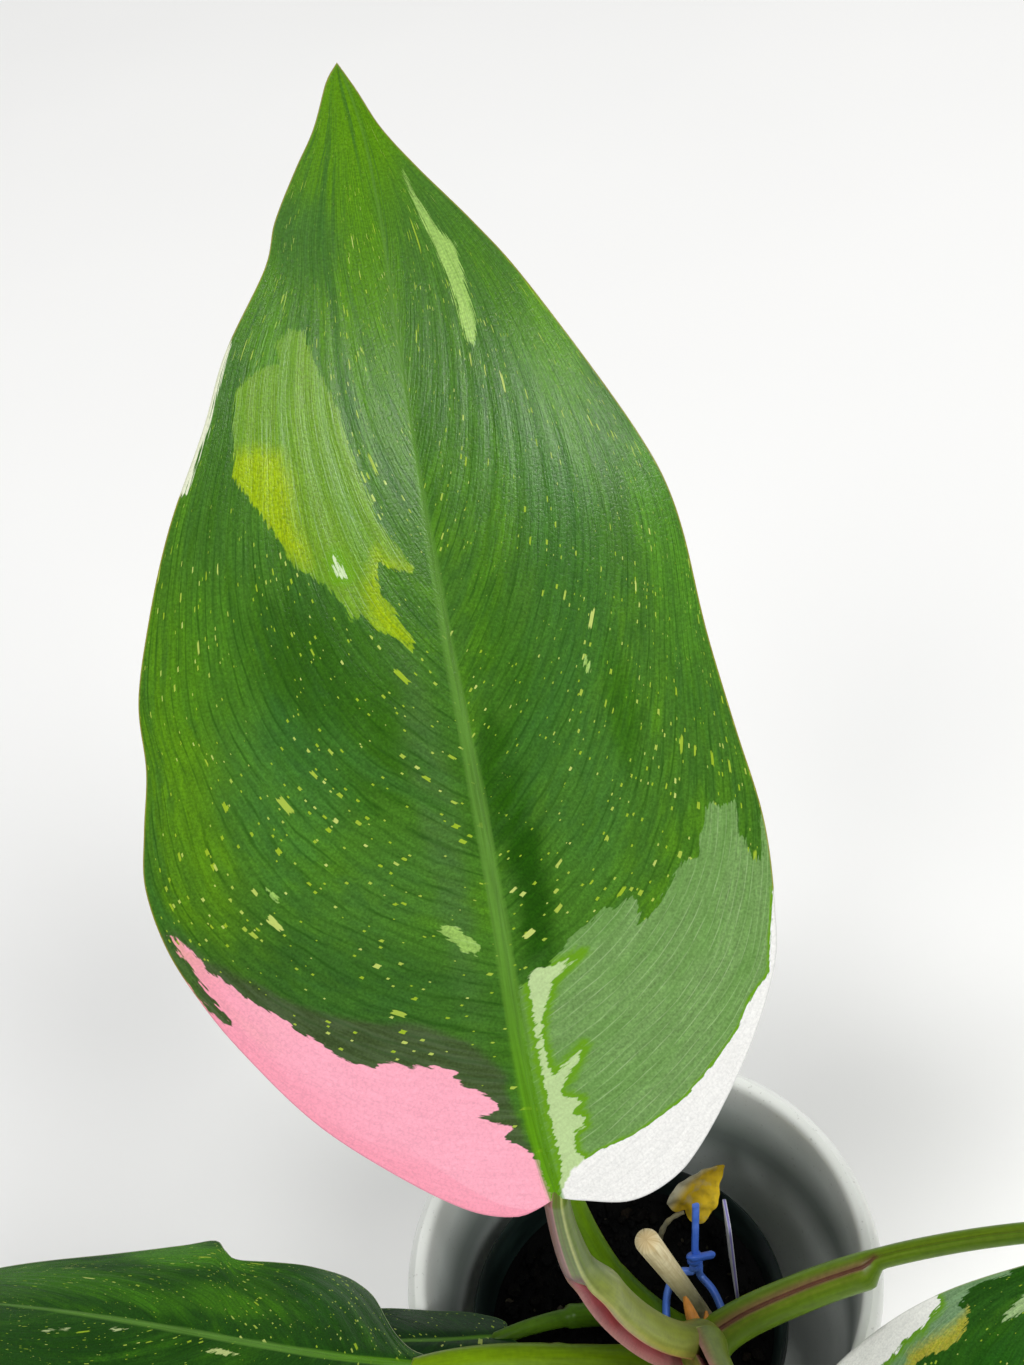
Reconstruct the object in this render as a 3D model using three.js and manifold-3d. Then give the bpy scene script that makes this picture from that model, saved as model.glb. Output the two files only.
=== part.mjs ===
// A potted tricolor white princess philodendron: a pale glazed cachepot with a dark nursery pot
// standing in it, the plant leaning on its stake, and the things pushed into the mix.
// Millimetres, +Z up. The origin is the centre of the cachepot's flat base; -Y is the front.

import * as THREE from 'three';
import { mergeVertices } from 'three/addons/utils/BufferGeometryUtils.js';
import Module from 'manifold-3d';

const wasm = await Module();
wasm.setup();

// Clearance between pieces that touch.
const GAP = 0.3;

// Pots and mix.
const CACHEPOT = { rimRadius: 65, baseRadius: 50, height: 114, wall: 5.5, floor: 6, segments: 48 };
const NURSERY = {
  centreX: -6, rimRadius: 45, neckRadius: 42.6, baseRadius: 32, height: 80, wall: 1, lip: 6.5,
  holes: 6, holeRadius: 3.5, holeRing: 23, segments: 40,
};
const MIX = { level: 76, lump: 1.4, rings: 5 };

// The stem leans towards the front. Its lowest part is in the mix.
const STEM = {
  path: [[12.5, -7, 50], [12, -11, 76], [11.5, -27, 108], [10.5, -39.5, 141]],
  footRadius: 5.6, topRadius: 5, nodeSwell: 0.14, nodeShares: [0.35, 0.43, 0.51, 0.76, 0.85],
  sides: 14, steps: 18,
};
const ROOT_TIPS = [
  { from: [10.8, -31.5, 127], to: [9.9, -22.8, 130.6], radius: 2.3 },
  { from: [12.4, -30, 121], to: [14.2, -21.5, 125], radius: 1.7 },
];

// A grown outline as [share of the midrib, share of the half width], from the notch to the tip.
const USUAL_OUTLINE = [
  [0, 0], [-0.035, 0.13], [-0.052, 0.32], [-0.035, 0.54], [0.01, 0.74], [0.08, 0.9], [0.18, 0.99],
  [0.3, 0.99], [0.45, 0.91], [0.6, 0.76], [0.74, 0.54], [0.86, 0.31], [0.94, 0.14], [1, 0],
];

// Each leaf: petiole and midrib as Bezier points, the way the upper side faces at the foot and at
// the tip of the blade, and the outlines as [share of the midrib, millimetres from the midrib].
// fold lifts both halves into a shallow V, roll turns the margins down, wave ripples the margin.
const LEAVES = {
  leaf_main: {
    colour: '#3f7d34', petiole: [[10.6, -34, 127], [-4, -46, 160], [-14.5, -62, 224]],
    petioleFacing: [[-0.75, -0.6, 0.25], [-0.25, -0.85, 0.45]], petioleRadius: 2.2,
    sheathWidth: 6, sheathShare: 0.66, sheathDepth: 1.2, wing: 0.8, makesRoomFor: ['leaf_front'],
    midrib: [
      [-11.9, -67.7, 275], [-16.6, -42.6, 311.8], [-0.3, -30.4, 332.5],
      [-22, 0, 364.3], [0.6, 38.7, 393.2], [-8.7, 77.8, 414.2],
    ],
    facing: [[0.02, -0.72, 0.69], [0.02, -0.8, 0.6]],
    fold: 0.1, roll: 7, wave: 1, waves: 3.2, phase: 0.6, rows: 30,
    columns: [0, 0.035, 0.09, 0.24, 0.5, 0.76, 1],
    left: [
      [0, 0], [-0.004, 4.8], [-0.002, 8], [0.014, 14.7], [0.054, 24.7], [0.103, 35.2],
      [0.156, 43.3], [0.209, 49.6], [0.272, 54.3], [0.341, 56], [0.394, 54.5], [0.447, 52.4],
      [0.505, 51.7], [0.567, 47.5], [0.631, 41.8], [0.699, 34.2], [0.757, 29], [0.822, 20.7],
      [0.862, 17.9], [0.907, 12.9], [0.941, 8.4], [0.984, 3.5], [1, 0],
    ],
    right: [
      [0, 0], [-0.009, 4.3], [-0.021, 11.5], [-0.016, 18.5], [0.002, 24.8], [0.043, 31.7],
      [0.102, 38.6], [0.171, 44], [0.225, 45.3], [0.305, 45.6], [0.388, 43.7], [0.475, 42.1],
      [0.556, 41.5], [0.604, 40.1], [0.645, 37.3], [0.691, 33], [0.744, 27.3], [0.798, 20.9],
      [0.838, 15.2], [0.886, 8.2], [0.929, 3.4], [0.971, 1.2], [1, 0],
    ],
  },
  leaf_right: {
    colour: '#4a8030', petiole: [[11.2, -31, 120], [28, -18.5, 124], [70, -29, 156.5]],
    petioleFacing: [[-0.35, 0.35, 0.85], [-0.4, -0.1, 0.9]], petioleRadius: 2.5,
    sheathWidth: 6, sheathShare: 0.5, makesRoomFor: ['leaf_main'],
    midrib: [[116, -46, 170], [145, -42, 184], [190, -14, 180], [240, 28, 150]],
    facing: [[-0.1, -0.1, 1], [0.25, -0.1, 1]], half: 44,
    fold: 0.12, roll: 8, wave: 1.4, waves: 2.6, phase: 2, rows: 20,
  },
  leaf_left: {
    colour: '#3c7428', petiole: [[11.8, -17, 90], [-4, -30, 106], [-32, -24, 134]],
    petioleFacing: [[0.4, 0.2, 0.9], [0.3, 0, 0.95]], petioleRadius: 2.6,
    sheathWidth: 5.8, sheathShare: 0.62, makesRoomFor: ['leaf_behind'],
    midrib: [[-58.5, -30.6, 146], [-92, -30, 162], [-146, 0, 164], [-214, 26, 128]],
    facing: [[0.05, 0.5, 1], [-0.2, 0.42, 1]], half: 37,
    fold: 0, roll: 4, wave: 1, waves: 2.4, phase: 0.4, rows: 22,
    right: [
      [0, 0], [-0.02, 2], [0.01, 6], [0.04, 12], [0.086, 24.9], [0.14, 30.5], [0.2, 33], [0.284, 32.2],
      [0.36, 29.5], [0.43, 27.3], [0.463, 29.9], [0.497, 33.4], [0.548, 29.3], [0.661, 20.8],
      [0.807, 12.7], [0.91, 5.5], [1, 0],
    ],
  },
  leaf_small: {
    colour: '#33672c', petiole: [[12, -14, 83], [2, -4, 96], [-22, -10, 114]],
    petioleFacing: [[0.4, 0.1, 0.9], [0.3, 0, 0.95]], petioleRadius: 1.9,
    sheathWidth: 4.8, sheathShare: 0.7, makesRoomFor: ['leaf_left'],
    midrib: [[-41, -15, 118], [-65, -18, 130], [-95, -8, 128], [-122, 4, 110]],
    facing: [[0.1, 0.5, 1], [-0.2, 0.5, 1]], half: 14,
    fold: 0, roll: 1.5, wave: 0.5, waves: 2, phase: 1, rows: 14,
  },
  leaf_front: {
    colour: '#4d7c33', petiole: [[10.6, -39, 139], [12, -56, 160], [15, -88, 178]],
    petioleFacing: [[-0.5, 0.35, 0.8], [-0.4, 0.3, 0.85]], petioleRadius: 2.2,
    sheathWidth: 5.2, sheathShare: 0.55,
    midrib: [[26, -106, 186], [54, -102, 205], [100, -90, 214], [152, -68, 196]],
    facing: [[-0.1, 0, 1], [0.15, -0.1, 1]], half: 36,
    fold: 0.1, roll: 8, wave: 1.2, waves: 2.6, phase: 1.4, rows: 20,
  },
  leaf_behind: {
    colour: '#4d7a24', petiole: [[11.6, -20, 97], [-8, -7, 105], [-15, -8, 148]],
    petioleFacing: [[0.5, -0.6, 0.5], [0.2, -0.8, 0.6]], petioleRadius: 2.3,
    sheathWidth: 4.9, sheathShare: 0.45,
    midrib: [[-15, -4, 205], [-19, 20, 248], [-22, 64, 280], [-25, 110, 285]],
    facing: [[0, -0.8, 0.6], [0, -0.5, 0.85]], half: 38,
    fold: 0.12, roll: 7, wave: 1.2, waves: 2.6, phase: 0.9, rows: 20,
  },
};
const USUAL_COLUMNS = [0, 0.06, 0.15, 0.42, 0.72, 1];

// Blades: thickness, the midrib's ridge underneath, and how the rows bunch at the blade's foot.
const BLADE = { thickness: 0.8, ridge: 2.6, ridgeHalf: 2.4, bunch: 1.6, crease: 4 };
const PETIOLE_STEPS = 18;
const TONGUE = 9;

// What is pushed into the mix or hangs on the plant.
const STAKE = { foot: [18, 4, 52], top: [2.1, -33.8, 188.6], footRadius: 2.1, topRadius: 2.9 };
const TIE = {
  radius: 0.85, centre: [11.2, -19.2], halfX: 7.6, halfY: 13.4, frontZ: 104.5, slope: 0.3,
  openAngle: 1.15, twistHeight: 8, twistTurns: 1.5, tail: [17.5, 0.5, 134], knob: [19.4, -5.5, 117.5],
};
const LABEL = {
  foot: [25.2, 0.2, 48], top: [26.9, 11.5, 106], thickness: 1, width: 12, corner: 3,
};
const WITHERED = {
  stalk: [[6.5, 24, 60], [6.8, 23.5, 80], [10, 24, 86], [16, 24.5, 86]], stalkRadius: 1,
  midrib: [[16, 24.5, 86.4], [19.5, 26, 92], [25.5, 29, 95], [31.5, 33, 91.5]], half: 6.5,
  facing: [[-0.1, -0.6, 0.8], [0.3, -0.9, 0.4]],
  fold: 0.35, roll: -1.6, wave: 1.1, waves: 2.2, phase: 0, rows: 12,
};

// Solids and meshes.
function tidyIndex(geometry) {
  const bare = geometry.clone();
  bare.deleteAttribute('normal');
  bare.deleteAttribute('uv');
  const merged = mergeVertices(bare, 1e-4);
  const index = merged.getIndex().array;
  const kept = [];
  for (let i = 0; i < index.length; i += 3) {
    const [a, b, c] = [index[i], index[i + 1], index[i + 2]];
    if (a !== b && b !== c && c !== a) kept.push(a, b, c);
  }
  return { positions: merged.getAttribute('position').array, triangles: kept };
}

function signedVolume(positions, triangles) {
  const [a, b, c] = [new THREE.Vector3(), new THREE.Vector3(), new THREE.Vector3()];
  let sum = 0;
  for (let i = 0; i < triangles.length; i += 3) {
    a.fromArray(positions, triangles[i] * 3);
    b.fromArray(positions, triangles[i + 1] * 3);
    c.fromArray(positions, triangles[i + 2] * 3);
    sum += a.dot(b.cross(c));
  }
  return sum;
}

function toSolid(geometry) {
  const { positions, triangles } = tidyIndex(geometry);
  if (signedVolume(positions, triangles) < 0) {
    for (let i = 0; i < triangles.length; i += 3) {
      [triangles[i], triangles[i + 1]] = [triangles[i + 1], triangles[i]];
    }
  }
  const mesh = new wasm.Mesh({
    numProp: 3,
    vertProperties: new Float32Array(positions),
    triVerts: new Uint32Array(triangles),
  });
  return new wasm.Manifold(mesh);
}

function toGeometry(solid) {
  const mesh = solid.getMesh();
  const geometry = new THREE.BufferGeometry();
  geometry.setAttribute('position', new THREE.BufferAttribute(new Float32Array(mesh.vertProperties), 3));
  geometry.setIndex(new THREE.BufferAttribute(new Uint32Array(mesh.triVerts), 1));
  geometry.computeVertexNormals();
  return geometry;
}

function largestPiece(solid) {
  return solid.decompose().reduce((best, one) => (one.volume() > best.volume() ? one : best));
}

function makeMesh(name, solid, colour, roughness) {
  const material = new THREE.MeshStandardMaterial({ color: colour, roughness, metalness: 0 });
  const mesh = new THREE.Mesh(toGeometry(solid), material);
  mesh.name = name;
  return mesh;
}

// Curves.
function vector(point) {
  return new THREE.Vector3(...point);
}

function bezierPoint(points, t) {
  let level = points.map(vector);
  while (level.length > 1) {
    level = level.slice(1).map((next, i) => level[i].clone().lerp(next, t));
  }
  return level[0];
}

function bezierTangent(points, t) {
  let level = points.map(vector);
  while (level.length > 2) {
    level = level.slice(1).map((next, i) => level[i].clone().lerp(next, t));
  }
  return level[1].sub(level[0]).normalize();
}

function bezierLength(points) {
  let sum = 0;
  for (let i = 0; i < 60; i += 1) {
    sum += bezierPoint(points, i / 60).distanceTo(bezierPoint(points, (i + 1) / 60));
  }
  return sum;
}

// A closed skin over rings of points. The caps are cut from the rings' flat outlines.
function loft(rings) {
  const count = rings[0].points.length;
  const positions = rings.flatMap((ring) => ring.points.flatMap((p) => p.toArray()));
  const index = [];
  for (let r = 0; r + 1 < rings.length; r += 1) {
    for (let i = 0; i < count; i += 1) {
      const [a, b] = [r * count + i, r * count + ((i + 1) % count)];
      index.push(a, b, b + count, a, b + count, a + count);
    }
  }
  const last = (rings.length - 1) * count;
  for (const [p, q, s] of THREE.ShapeUtils.triangulateShape(rings[0].flat, [])) index.push(p, s, q);
  for (const [p, q, s] of THREE.ShapeUtils.triangulateShape(rings.at(-1).flat, [])) {
    index.push(last + p, last + q, last + s);
  }
  const geometry = new THREE.BufferGeometry();
  geometry.setAttribute('position', new THREE.Float32BufferAttribute(positions, 3));
  geometry.setIndex(index);
  return geometry;
}

// A ring of a section's flat points, set square to the tangent with its y axis towards facing.
function placeRing(flat, centre, tangent, facing) {
  const up = facing.clone().addScaledVector(tangent, -facing.dot(tangent)).normalize();
  const side = new THREE.Vector3().crossVectors(tangent, up);
  const points = flat.map((p) => centre.clone().addScaledVector(side, p.x).addScaledVector(up, p.y));
  return { points, flat };
}

function circle(radius, sides) {
  return Array.from({ length: sides }, (_, i) => {
    const angle = (2 * Math.PI * i) / sides;
    return new THREE.Vector2(radius * Math.cos(angle), radius * Math.sin(angle));
  });
}

// A round rod through the given shares of a curve, made larger all round by grow.
function roundRod(points, radiusAt, sides, shares, grow) {
  const facing = new THREE.Vector3(0.1, 1, 0.2);
  const rings = shares.map((t, k) => {
    const tangent = bezierTangent(points, t);
    const past = (k === shares.length - 1 ? grow : 0) - (k === 0 ? grow : 0);
    const centre = bezierPoint(points, t).addScaledVector(tangent, past);
    return placeRing(circle(radiusAt(t) + grow, sides), centre, tangent, facing);
  });
  return toSolid(loft(rings));
}

function evenShares(steps) {
  return Array.from({ length: steps + 1 }, (_, k) => k / steps);
}

// The petiole's section: a winged channel where sheath is 1, a round stalk where it is 0.
// A filled section has its channel level with the wings.
function petioleSection(width, depth, wing, sheath, filled) {
  const flat = [];
  for (let i = 0; i <= 6; i += 1) {
    const angle = Math.PI + (i * Math.PI) / 6;
    const rise = i === 0 || i === 6 ? wing * sheath : 0;
    flat.push(new THREE.Vector2(width * Math.cos(angle), depth * Math.sin(angle) + rise));
  }
  for (let i = 1; i <= 5; i += 1) {
    const angle = (i * Math.PI) / 6;
    const round = 0.92 * depth * Math.sin(angle);
    const channel = filled ? wing : -0.5 * depth * Math.sin(angle);
    const x = width * Math.cos(angle) * (1 - 0.2 * sheath);
    flat.push(new THREE.Vector2(x, THREE.MathUtils.lerp(round, channel, sheath)));
  }
  return flat;
}

// How sheathed the petiole is at share t, with a short step down at the sheath's end.
function sheathAt(leaf, t) {
  return 1 - THREE.MathUtils.smoothstep(t, leaf.sheathShare - 0.06, leaf.sheathShare + 0.02);
}

function petioleWidth(leaf, t) {
  const base = THREE.MathUtils.lerp(leaf.sheathWidth, leaf.petioleRadius * 1.35, t / leaf.sheathShare);
  return THREE.MathUtils.lerp(leaf.petioleRadius, base, sheathAt(leaf, t));
}

// Blades.
function bladeFrame(leaf, t) {
  const inside = THREE.MathUtils.clamp(t, 0, 1);
  const tangent = bezierTangent(leaf.midrib, inside);
  const facing = vector(leaf.facing[0]).lerp(vector(leaf.facing[1]), inside);
  const normal = facing.addScaledVector(tangent, -facing.dot(tangent)).normalize();
  return { tangent, normal, side: new THREE.Vector3().crossVectors(tangent, normal) };
}

function midribPoint(leaf, t) {
  const point = bezierPoint(leaf.midrib, Math.max(t, 0));
  if (t < 0) point.addScaledVector(bezierTangent(leaf.midrib, 0), t * leaf.length);
  return point;
}

// A point of the blade's upper side at share t of the midrib and v millimetres to its right.
function bladePoint(leaf, t, v) {
  const { normal, side } = bladeFrame(leaf, t);
  const q = v / leaf.half;
  const fold = leaf.fold * (Math.hypot(v, BLADE.crease) - BLADE.crease);
  const ripple = Math.sin(2 * Math.PI * leaf.waves * t + leaf.phase + (v > 0 ? 1.3 : 0));
  const lift = fold - leaf.roll * q * q + leaf.wave * ripple * Math.abs(q) ** 3;
  return midribPoint(leaf, t).addScaledVector(side, v).addScaledVector(normal, lift);
}

function outlineSamples(leaf, outline) {
  const curve = new THREE.SplineCurve(outline.map(([t, v]) => new THREE.Vector2(t * leaf.length, v)));
  return curve.getSpacedPoints(leaf.rows).map((p) => [p.x / leaf.length, p.y]);
}

// Half a blade on one side of the midrib: upper and lower skins split alike, and the edge.
function halfBlade(leaf, outline, sign) {
  const samples = outlineSamples(leaf, outline);
  const across = leaf.columns.length;
  const [upper, lower, index] = [[], [], []];
  samples.forEach(([edgeT, edgeV], row) => {
    const rootT = (row / leaf.rows) ** BLADE.bunch;
    for (const share of leaf.columns) {
      const t = THREE.MathUtils.lerp(rootT, edgeT, share);
      const v = sign * edgeV * share;
      const top = bladePoint(leaf, t, v);
      const fade = Math.sqrt(1 - THREE.MathUtils.clamp(t, 0, 1));
      const ridge = BLADE.ridge * leaf.ridgeScale * fade * Math.exp(-((v / BLADE.ridgeHalf) ** 2));
      upper.push(top);
      lower.push(top.clone().addScaledVector(bladeFrame(leaf, t).normal, -BLADE.thickness - ridge));
    }
  });
  const under = upper.length;
  for (let row = 0; row < leaf.rows; row += 1) {
    for (let c = 0; c + 1 < across; c += 1) {
      const a = row * across + c;
      const [b, d, e] = [a + 1, a + across, a + across + 1];
      index.push(a, b, e, a, e, d);
      index.push(under + a, under + e, under + b, under + a, under + d, under + e);
    }
    const edge = row * across + across - 1;
    const next = edge + across;
    index.push(edge, under + edge, under + next, edge, under + next, next);
  }
  return { points: [...upper, ...lower], index, flip: sign < 0 };
}

function bladeSolid(leaf) {
  const positions = [];
  const index = [];
  for (const [outline, sign] of [[leaf.left, -1], [leaf.right, 1]]) {
    const half = halfBlade(leaf, outline, sign);
    const offset = positions.length / 3;
    half.points.forEach((p) => positions.push(...p.toArray()));
    for (let i = 0; i < half.index.length; i += 3) {
      const [a, b, c] = half.index.slice(i, i + 3).map((n) => n + offset);
      index.push(...(half.flip ? [a, c, b] : [a, b, c]));
    }
  }
  const geometry = new THREE.BufferGeometry();
  geometry.setAttribute('position', new THREE.Float32BufferAttribute(positions, 3));
  geometry.setIndex(index);
  return toSolid(geometry);
}

// The petiole runs from the stem's axis to the blade's foot and on as a tongue under the midrib.
function petioleSolid(leaf, grow = 0) {
  const foot = bladeFrame(leaf, 0);
  const end = vector(leaf.midrib[0]).addScaledVector(foot.normal, -0.7 * leaf.petioleRadius);
  const path = [...leaf.petiole, end.toArray()];
  const rings = [];
  for (let k = 0; k <= PETIOLE_STEPS; k += 1) {
    const t = k / PETIOLE_STEPS;
    const sheath = sheathAt(leaf, t);
    const width = petioleWidth(leaf, t) + grow;
    const depth = THREE.MathUtils.lerp(leaf.petioleRadius + grow, leaf.sheathDepth * width, sheath);
    const flat = petioleSection(width, depth, leaf.wing * width, sheath, grow > 0);
    const facing = vector(leaf.petioleFacing[0]).lerp(vector(leaf.petioleFacing[1]), t);
    rings.push(placeRing(flat, bezierPoint(path, t), bezierTangent(path, t), facing));
  }
  for (const share of [0.5, 1]) {
    const t = (share * TONGUE) / leaf.length;
    const radius = leaf.petioleRadius * (1 - 0.6 * share);
    const centre = bladePoint(leaf, t, 0).addScaledVector(bladeFrame(leaf, t).normal, -radius - 0.25);
    const { tangent, normal } = bladeFrame(leaf, t);
    rings.push(placeRing(petioleSection(radius, radius, 0, 0, false), centre, tangent, normal));
  }
  return toSolid(loft(rings));
}

function completeLeaf(leaf) {
  const usual = USUAL_OUTLINE.map(([t, share]) => [t, share * leaf.half]);
  const widest = Math.max(...(leaf.left ?? usual).map(([, v]) => v));
  return {
    ridgeScale: 1, columns: USUAL_COLUMNS, left: usual, right: usual, half: widest,
    sheathDepth: 0.82, wing: 0.45, ...leaf, length: bezierLength(leaf.midrib),
  };
}

// A leaf is clear of the stem and of the sheaths that it makes room for.
function leafSolid(leaf, stemCutter) {
  let solid = bladeSolid(leaf).add(petioleSolid(leaf)).subtract(stemCutter);
  for (const name of leaf.makesRoomFor ?? []) {
    solid = solid.subtract(petioleSolid(completeLeaf(LEAVES[name]), 1.5 * GAP));
  }
  return largestPiece(solid);
}

// The stem swells at its nodes and carries two short aerial root tips.
function stemRadius(t) {
  const base = THREE.MathUtils.lerp(STEM.footRadius, STEM.topRadius, t);
  const swell = STEM.nodeShares.reduce((sum, share) => sum + Math.exp(-(((t - share) / 0.025) ** 2)), 0);
  return base * (1 + STEM.nodeSwell * swell);
}

function stemSolid(grow) {
  let solid = roundRod(STEM.path, stemRadius, STEM.sides, evenShares(STEM.steps), grow);
  for (const tip of ROOT_TIPS) {
    const radiusAt = (t) => tip.radius * Math.sqrt(1.03 - t);
    solid = solid.add(roundRod([tip.from, tip.to], radiusAt, 8, evenShares(5), grow));
  }
  return solid;
}

// Pots and mix are turned profiles of [radius, height].
function turned(profile, segments) {
  const geometry = new THREE.LatheGeometry(profile.map(([r, z]) => new THREE.Vector2(r, z)), segments);
  geometry.rotateX(Math.PI / 2);
  return geometry;
}

function cachepotSolid() {
  const { rimRadius, baseRadius, height, wall, floor, segments } = CACHEPOT;
  const inner = rimRadius - wall;
  const innerBase = baseRadius - wall + 1;
  const profile = [
    [0, 0], [baseRadius - 2.5, 0], [baseRadius - 0.6, 0.8], [baseRadius, 2.6],
    [rimRadius - 5, height * 0.6], [rimRadius, height - 4], [rimRadius - 0.8, height - 1.2],
    [rimRadius - 2.8, height], [inner + 1.2, height - 0.6], [inner, height - 3],
    [inner - 4.8, height * 0.6], [innerBase, floor + 6], [innerBase - 5, floor], [0, floor],
  ];
  return toSolid(turned(profile, segments));
}

function nurseryInner(z) {
  const foot = CACHEPOT.floor;
  const share = (z - foot) / (NURSERY.height - NURSERY.lip);
  return THREE.MathUtils.lerp(NURSERY.baseRadius, NURSERY.neckRadius, share) - NURSERY.wall;
}

function nurserySolid() {
  const { centreX, rimRadius, baseRadius, neckRadius, height, wall, lip, segments } = NURSERY;
  const foot = CACHEPOT.floor;
  const rim = foot + height;
  const profile = [
    [0, foot], [baseRadius - 1, foot], [baseRadius, foot + 1], [neckRadius, rim - lip],
    [rimRadius, rim - lip], [rimRadius, rim - 0.5], [rimRadius - 0.6, rim], [rimRadius - 1.2, rim - 0.6],
    [neckRadius - wall, rim - lip + wall], [nurseryInner(foot + 1.2), foot + 1.2], [0, foot + 1.2],
  ];
  let solid = toSolid(turned(profile, segments));
  for (let i = 0; i < NURSERY.holes; i += 1) {
    const angle = (2 * Math.PI * i) / NURSERY.holes;
    const hole = new THREE.CylinderGeometry(NURSERY.holeRadius, NURSERY.holeRadius, 6, 12);
    hole.rotateX(Math.PI / 2);
    hole.translate(NURSERY.holeRing * Math.cos(angle), NURSERY.holeRing * Math.sin(angle), foot);
    solid = solid.subtract(toSolid(hole));
  }
  return solid.translate([centreX, 0, 0]);
}

// The mix fills the nursery pot and has a slightly lumpy top.
function mixSolid(plugs) {
  const foot = CACHEPOT.floor + 1.2 + GAP;
  const edge = nurseryInner(MIX.level) - GAP;
  const profile = [[0, foot], [nurseryInner(foot) - GAP, foot], [edge, MIX.level]];
  for (let ring = 1; ring <= MIX.rings; ring += 1) {
    profile.push([edge * (1 - ring / MIX.rings), MIX.level + 0.001 * ring]);
  }
  const geometry = turned(profile, NURSERY.segments);
  const position = geometry.getAttribute('position');
  for (let i = 0; i < position.count; i += 1) {
    const [x, y, z] = [position.getX(i), position.getY(i), position.getZ(i)];
    const inside = Math.hypot(x, y) < edge - 1;
    const lump = Math.sin(x * 0.31 + 1) * Math.cos(y * 0.27) + 0.6 * Math.sin(x * 0.13 - y * 0.41);
    if (z > MIX.level - 1 && inside) position.setZ(i, z + MIX.lump * lump);
  }
  const solid = toSolid(geometry).translate([NURSERY.centreX, 0, 0]);
  return plugs.reduce((rest, plug) => rest.subtract(plug), solid);
}

// The stake tapers downwards and has a rounded top.
function stakeSolid(grow) {
  const radiusAt = (t) => {
    const round = Math.sqrt(Math.max(0, 1 - ((t - 0.975) / 0.025) ** 2));
    const cap = t > 0.975 ? 0.35 + 0.65 * round : 1;
    return THREE.MathUtils.lerp(STAKE.footRadius, STAKE.topRadius, t) * cap;
  };
  return roundRod([STAKE.foot, STAKE.top], radiusAt, 12, [0, 0.5, 0.975, 0.985, 0.993, 1], grow);
}

// The tie goes round stem and stake, its ends twist together and part as a tail and a short knob.
function tieSolid() {
  const [cx, cy] = TIE.centre;
  const loopPoint = (angle) => {
    const y = cy + TIE.halfY * Math.sin(angle);
    const z = TIE.frontZ + TIE.slope * (y - (cy - TIE.halfY));
    return new THREE.Vector3(cx + TIE.halfX * Math.cos(angle), y, z);
  };
  const start = loopPoint(TIE.openAngle);
  const strandGap = TIE.radius + 0.15;
  const twist = (side) => Array.from({ length: 8 }, (_, i) => {
    const share = (i + 1) / 8;
    const angle = TIE.openAngle + (side > 0 ? 0 : Math.PI) + share * TIE.twistTurns * 2 * Math.PI;
    const offset = new THREE.Vector3(Math.cos(angle), Math.sin(angle), 0).multiplyScalar(strandGap);
    return start.clone().add(new THREE.Vector3(0.3, 0.6, 1.2 + share * TIE.twistHeight)).add(offset);
  });
  const loop = Array.from({ length: 15 }, (_, i) => (
    loopPoint(TIE.openAngle + 0.14 + (i / 14) * (2 * Math.PI - 0.28))
  ));
  const tailFoot = twist(-1).at(-1);
  const tail = [tailFoot.clone().lerp(vector(TIE.tail), 0.5), vector(TIE.tail)];
  const curve = new THREE.CatmullRomCurve3([
    vector(TIE.knob), ...twist(1).reverse(), ...loop, ...twist(-1), ...tail,
  ]);
  const shape = new THREE.Shape(circle(TIE.radius, 6));
  const geometry = new THREE.ExtrudeGeometry(shape, { steps: 78, extrudePath: curve, bevelEnabled: false });
  return toSolid(geometry);
}

// The label is a thin plate with rounded upper corners, standing edge-on to the front.
function labelSolid(grow) {
  const [foot, top] = [vector(LABEL.foot), vector(LABEL.top)];
  const length = foot.distanceTo(top);
  const [w, c] = [LABEL.width / 2 + grow, LABEL.corner];
  const shape = new THREE.Shape();
  shape.moveTo(0, -grow);
  shape.lineTo(w, 8);
  shape.lineTo(w, length - c);
  shape.absarc(w - c, length - c, c, 0, Math.PI / 2, false);
  shape.lineTo(c - w, length);
  shape.absarc(c - w, length - c, c, Math.PI / 2, Math.PI, false);
  shape.lineTo(-w, 8);
  const depth = LABEL.thickness + 2 * grow;
  const geometry = new THREE.ExtrudeGeometry(shape, { depth, bevelEnabled: false, curveSegments: 4 });
  geometry.translate(0, 0, -depth / 2);
  const up = top.clone().sub(foot).normalize();
  const out = new THREE.Vector3(1, 0, 0).addScaledVector(up, -up.x).normalize();
  const side = new THREE.Vector3().crossVectors(up, out);
  geometry.applyMatrix4(new THREE.Matrix4().makeBasis(side, up, out).setPosition(foot));
  return toSolid(geometry);
}

// The withered leaf is a small curled blade on a thin stalk that stands in the mix.
function stalkSolid(grow) {
  const radiusAt = (t) => WITHERED.stalkRadius * (1 - 0.35 * t);
  return roundRod(WITHERED.stalk, radiusAt, 8, evenShares(8), grow);
}

function witheredSolid() {
  const leaf = completeLeaf({ ...WITHERED, ridgeScale: 0.3, columns: [0, 0.3, 0.65, 1] });
  return largestPiece(bladeSolid(leaf).add(stalkSolid(0)));
}

// The object.
const plant = new THREE.Group();
const stemCutter = stemSolid(GAP);
const plugs = [stemCutter, stakeSolid(GAP), labelSolid(GAP), stalkSolid(GAP)];

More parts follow.
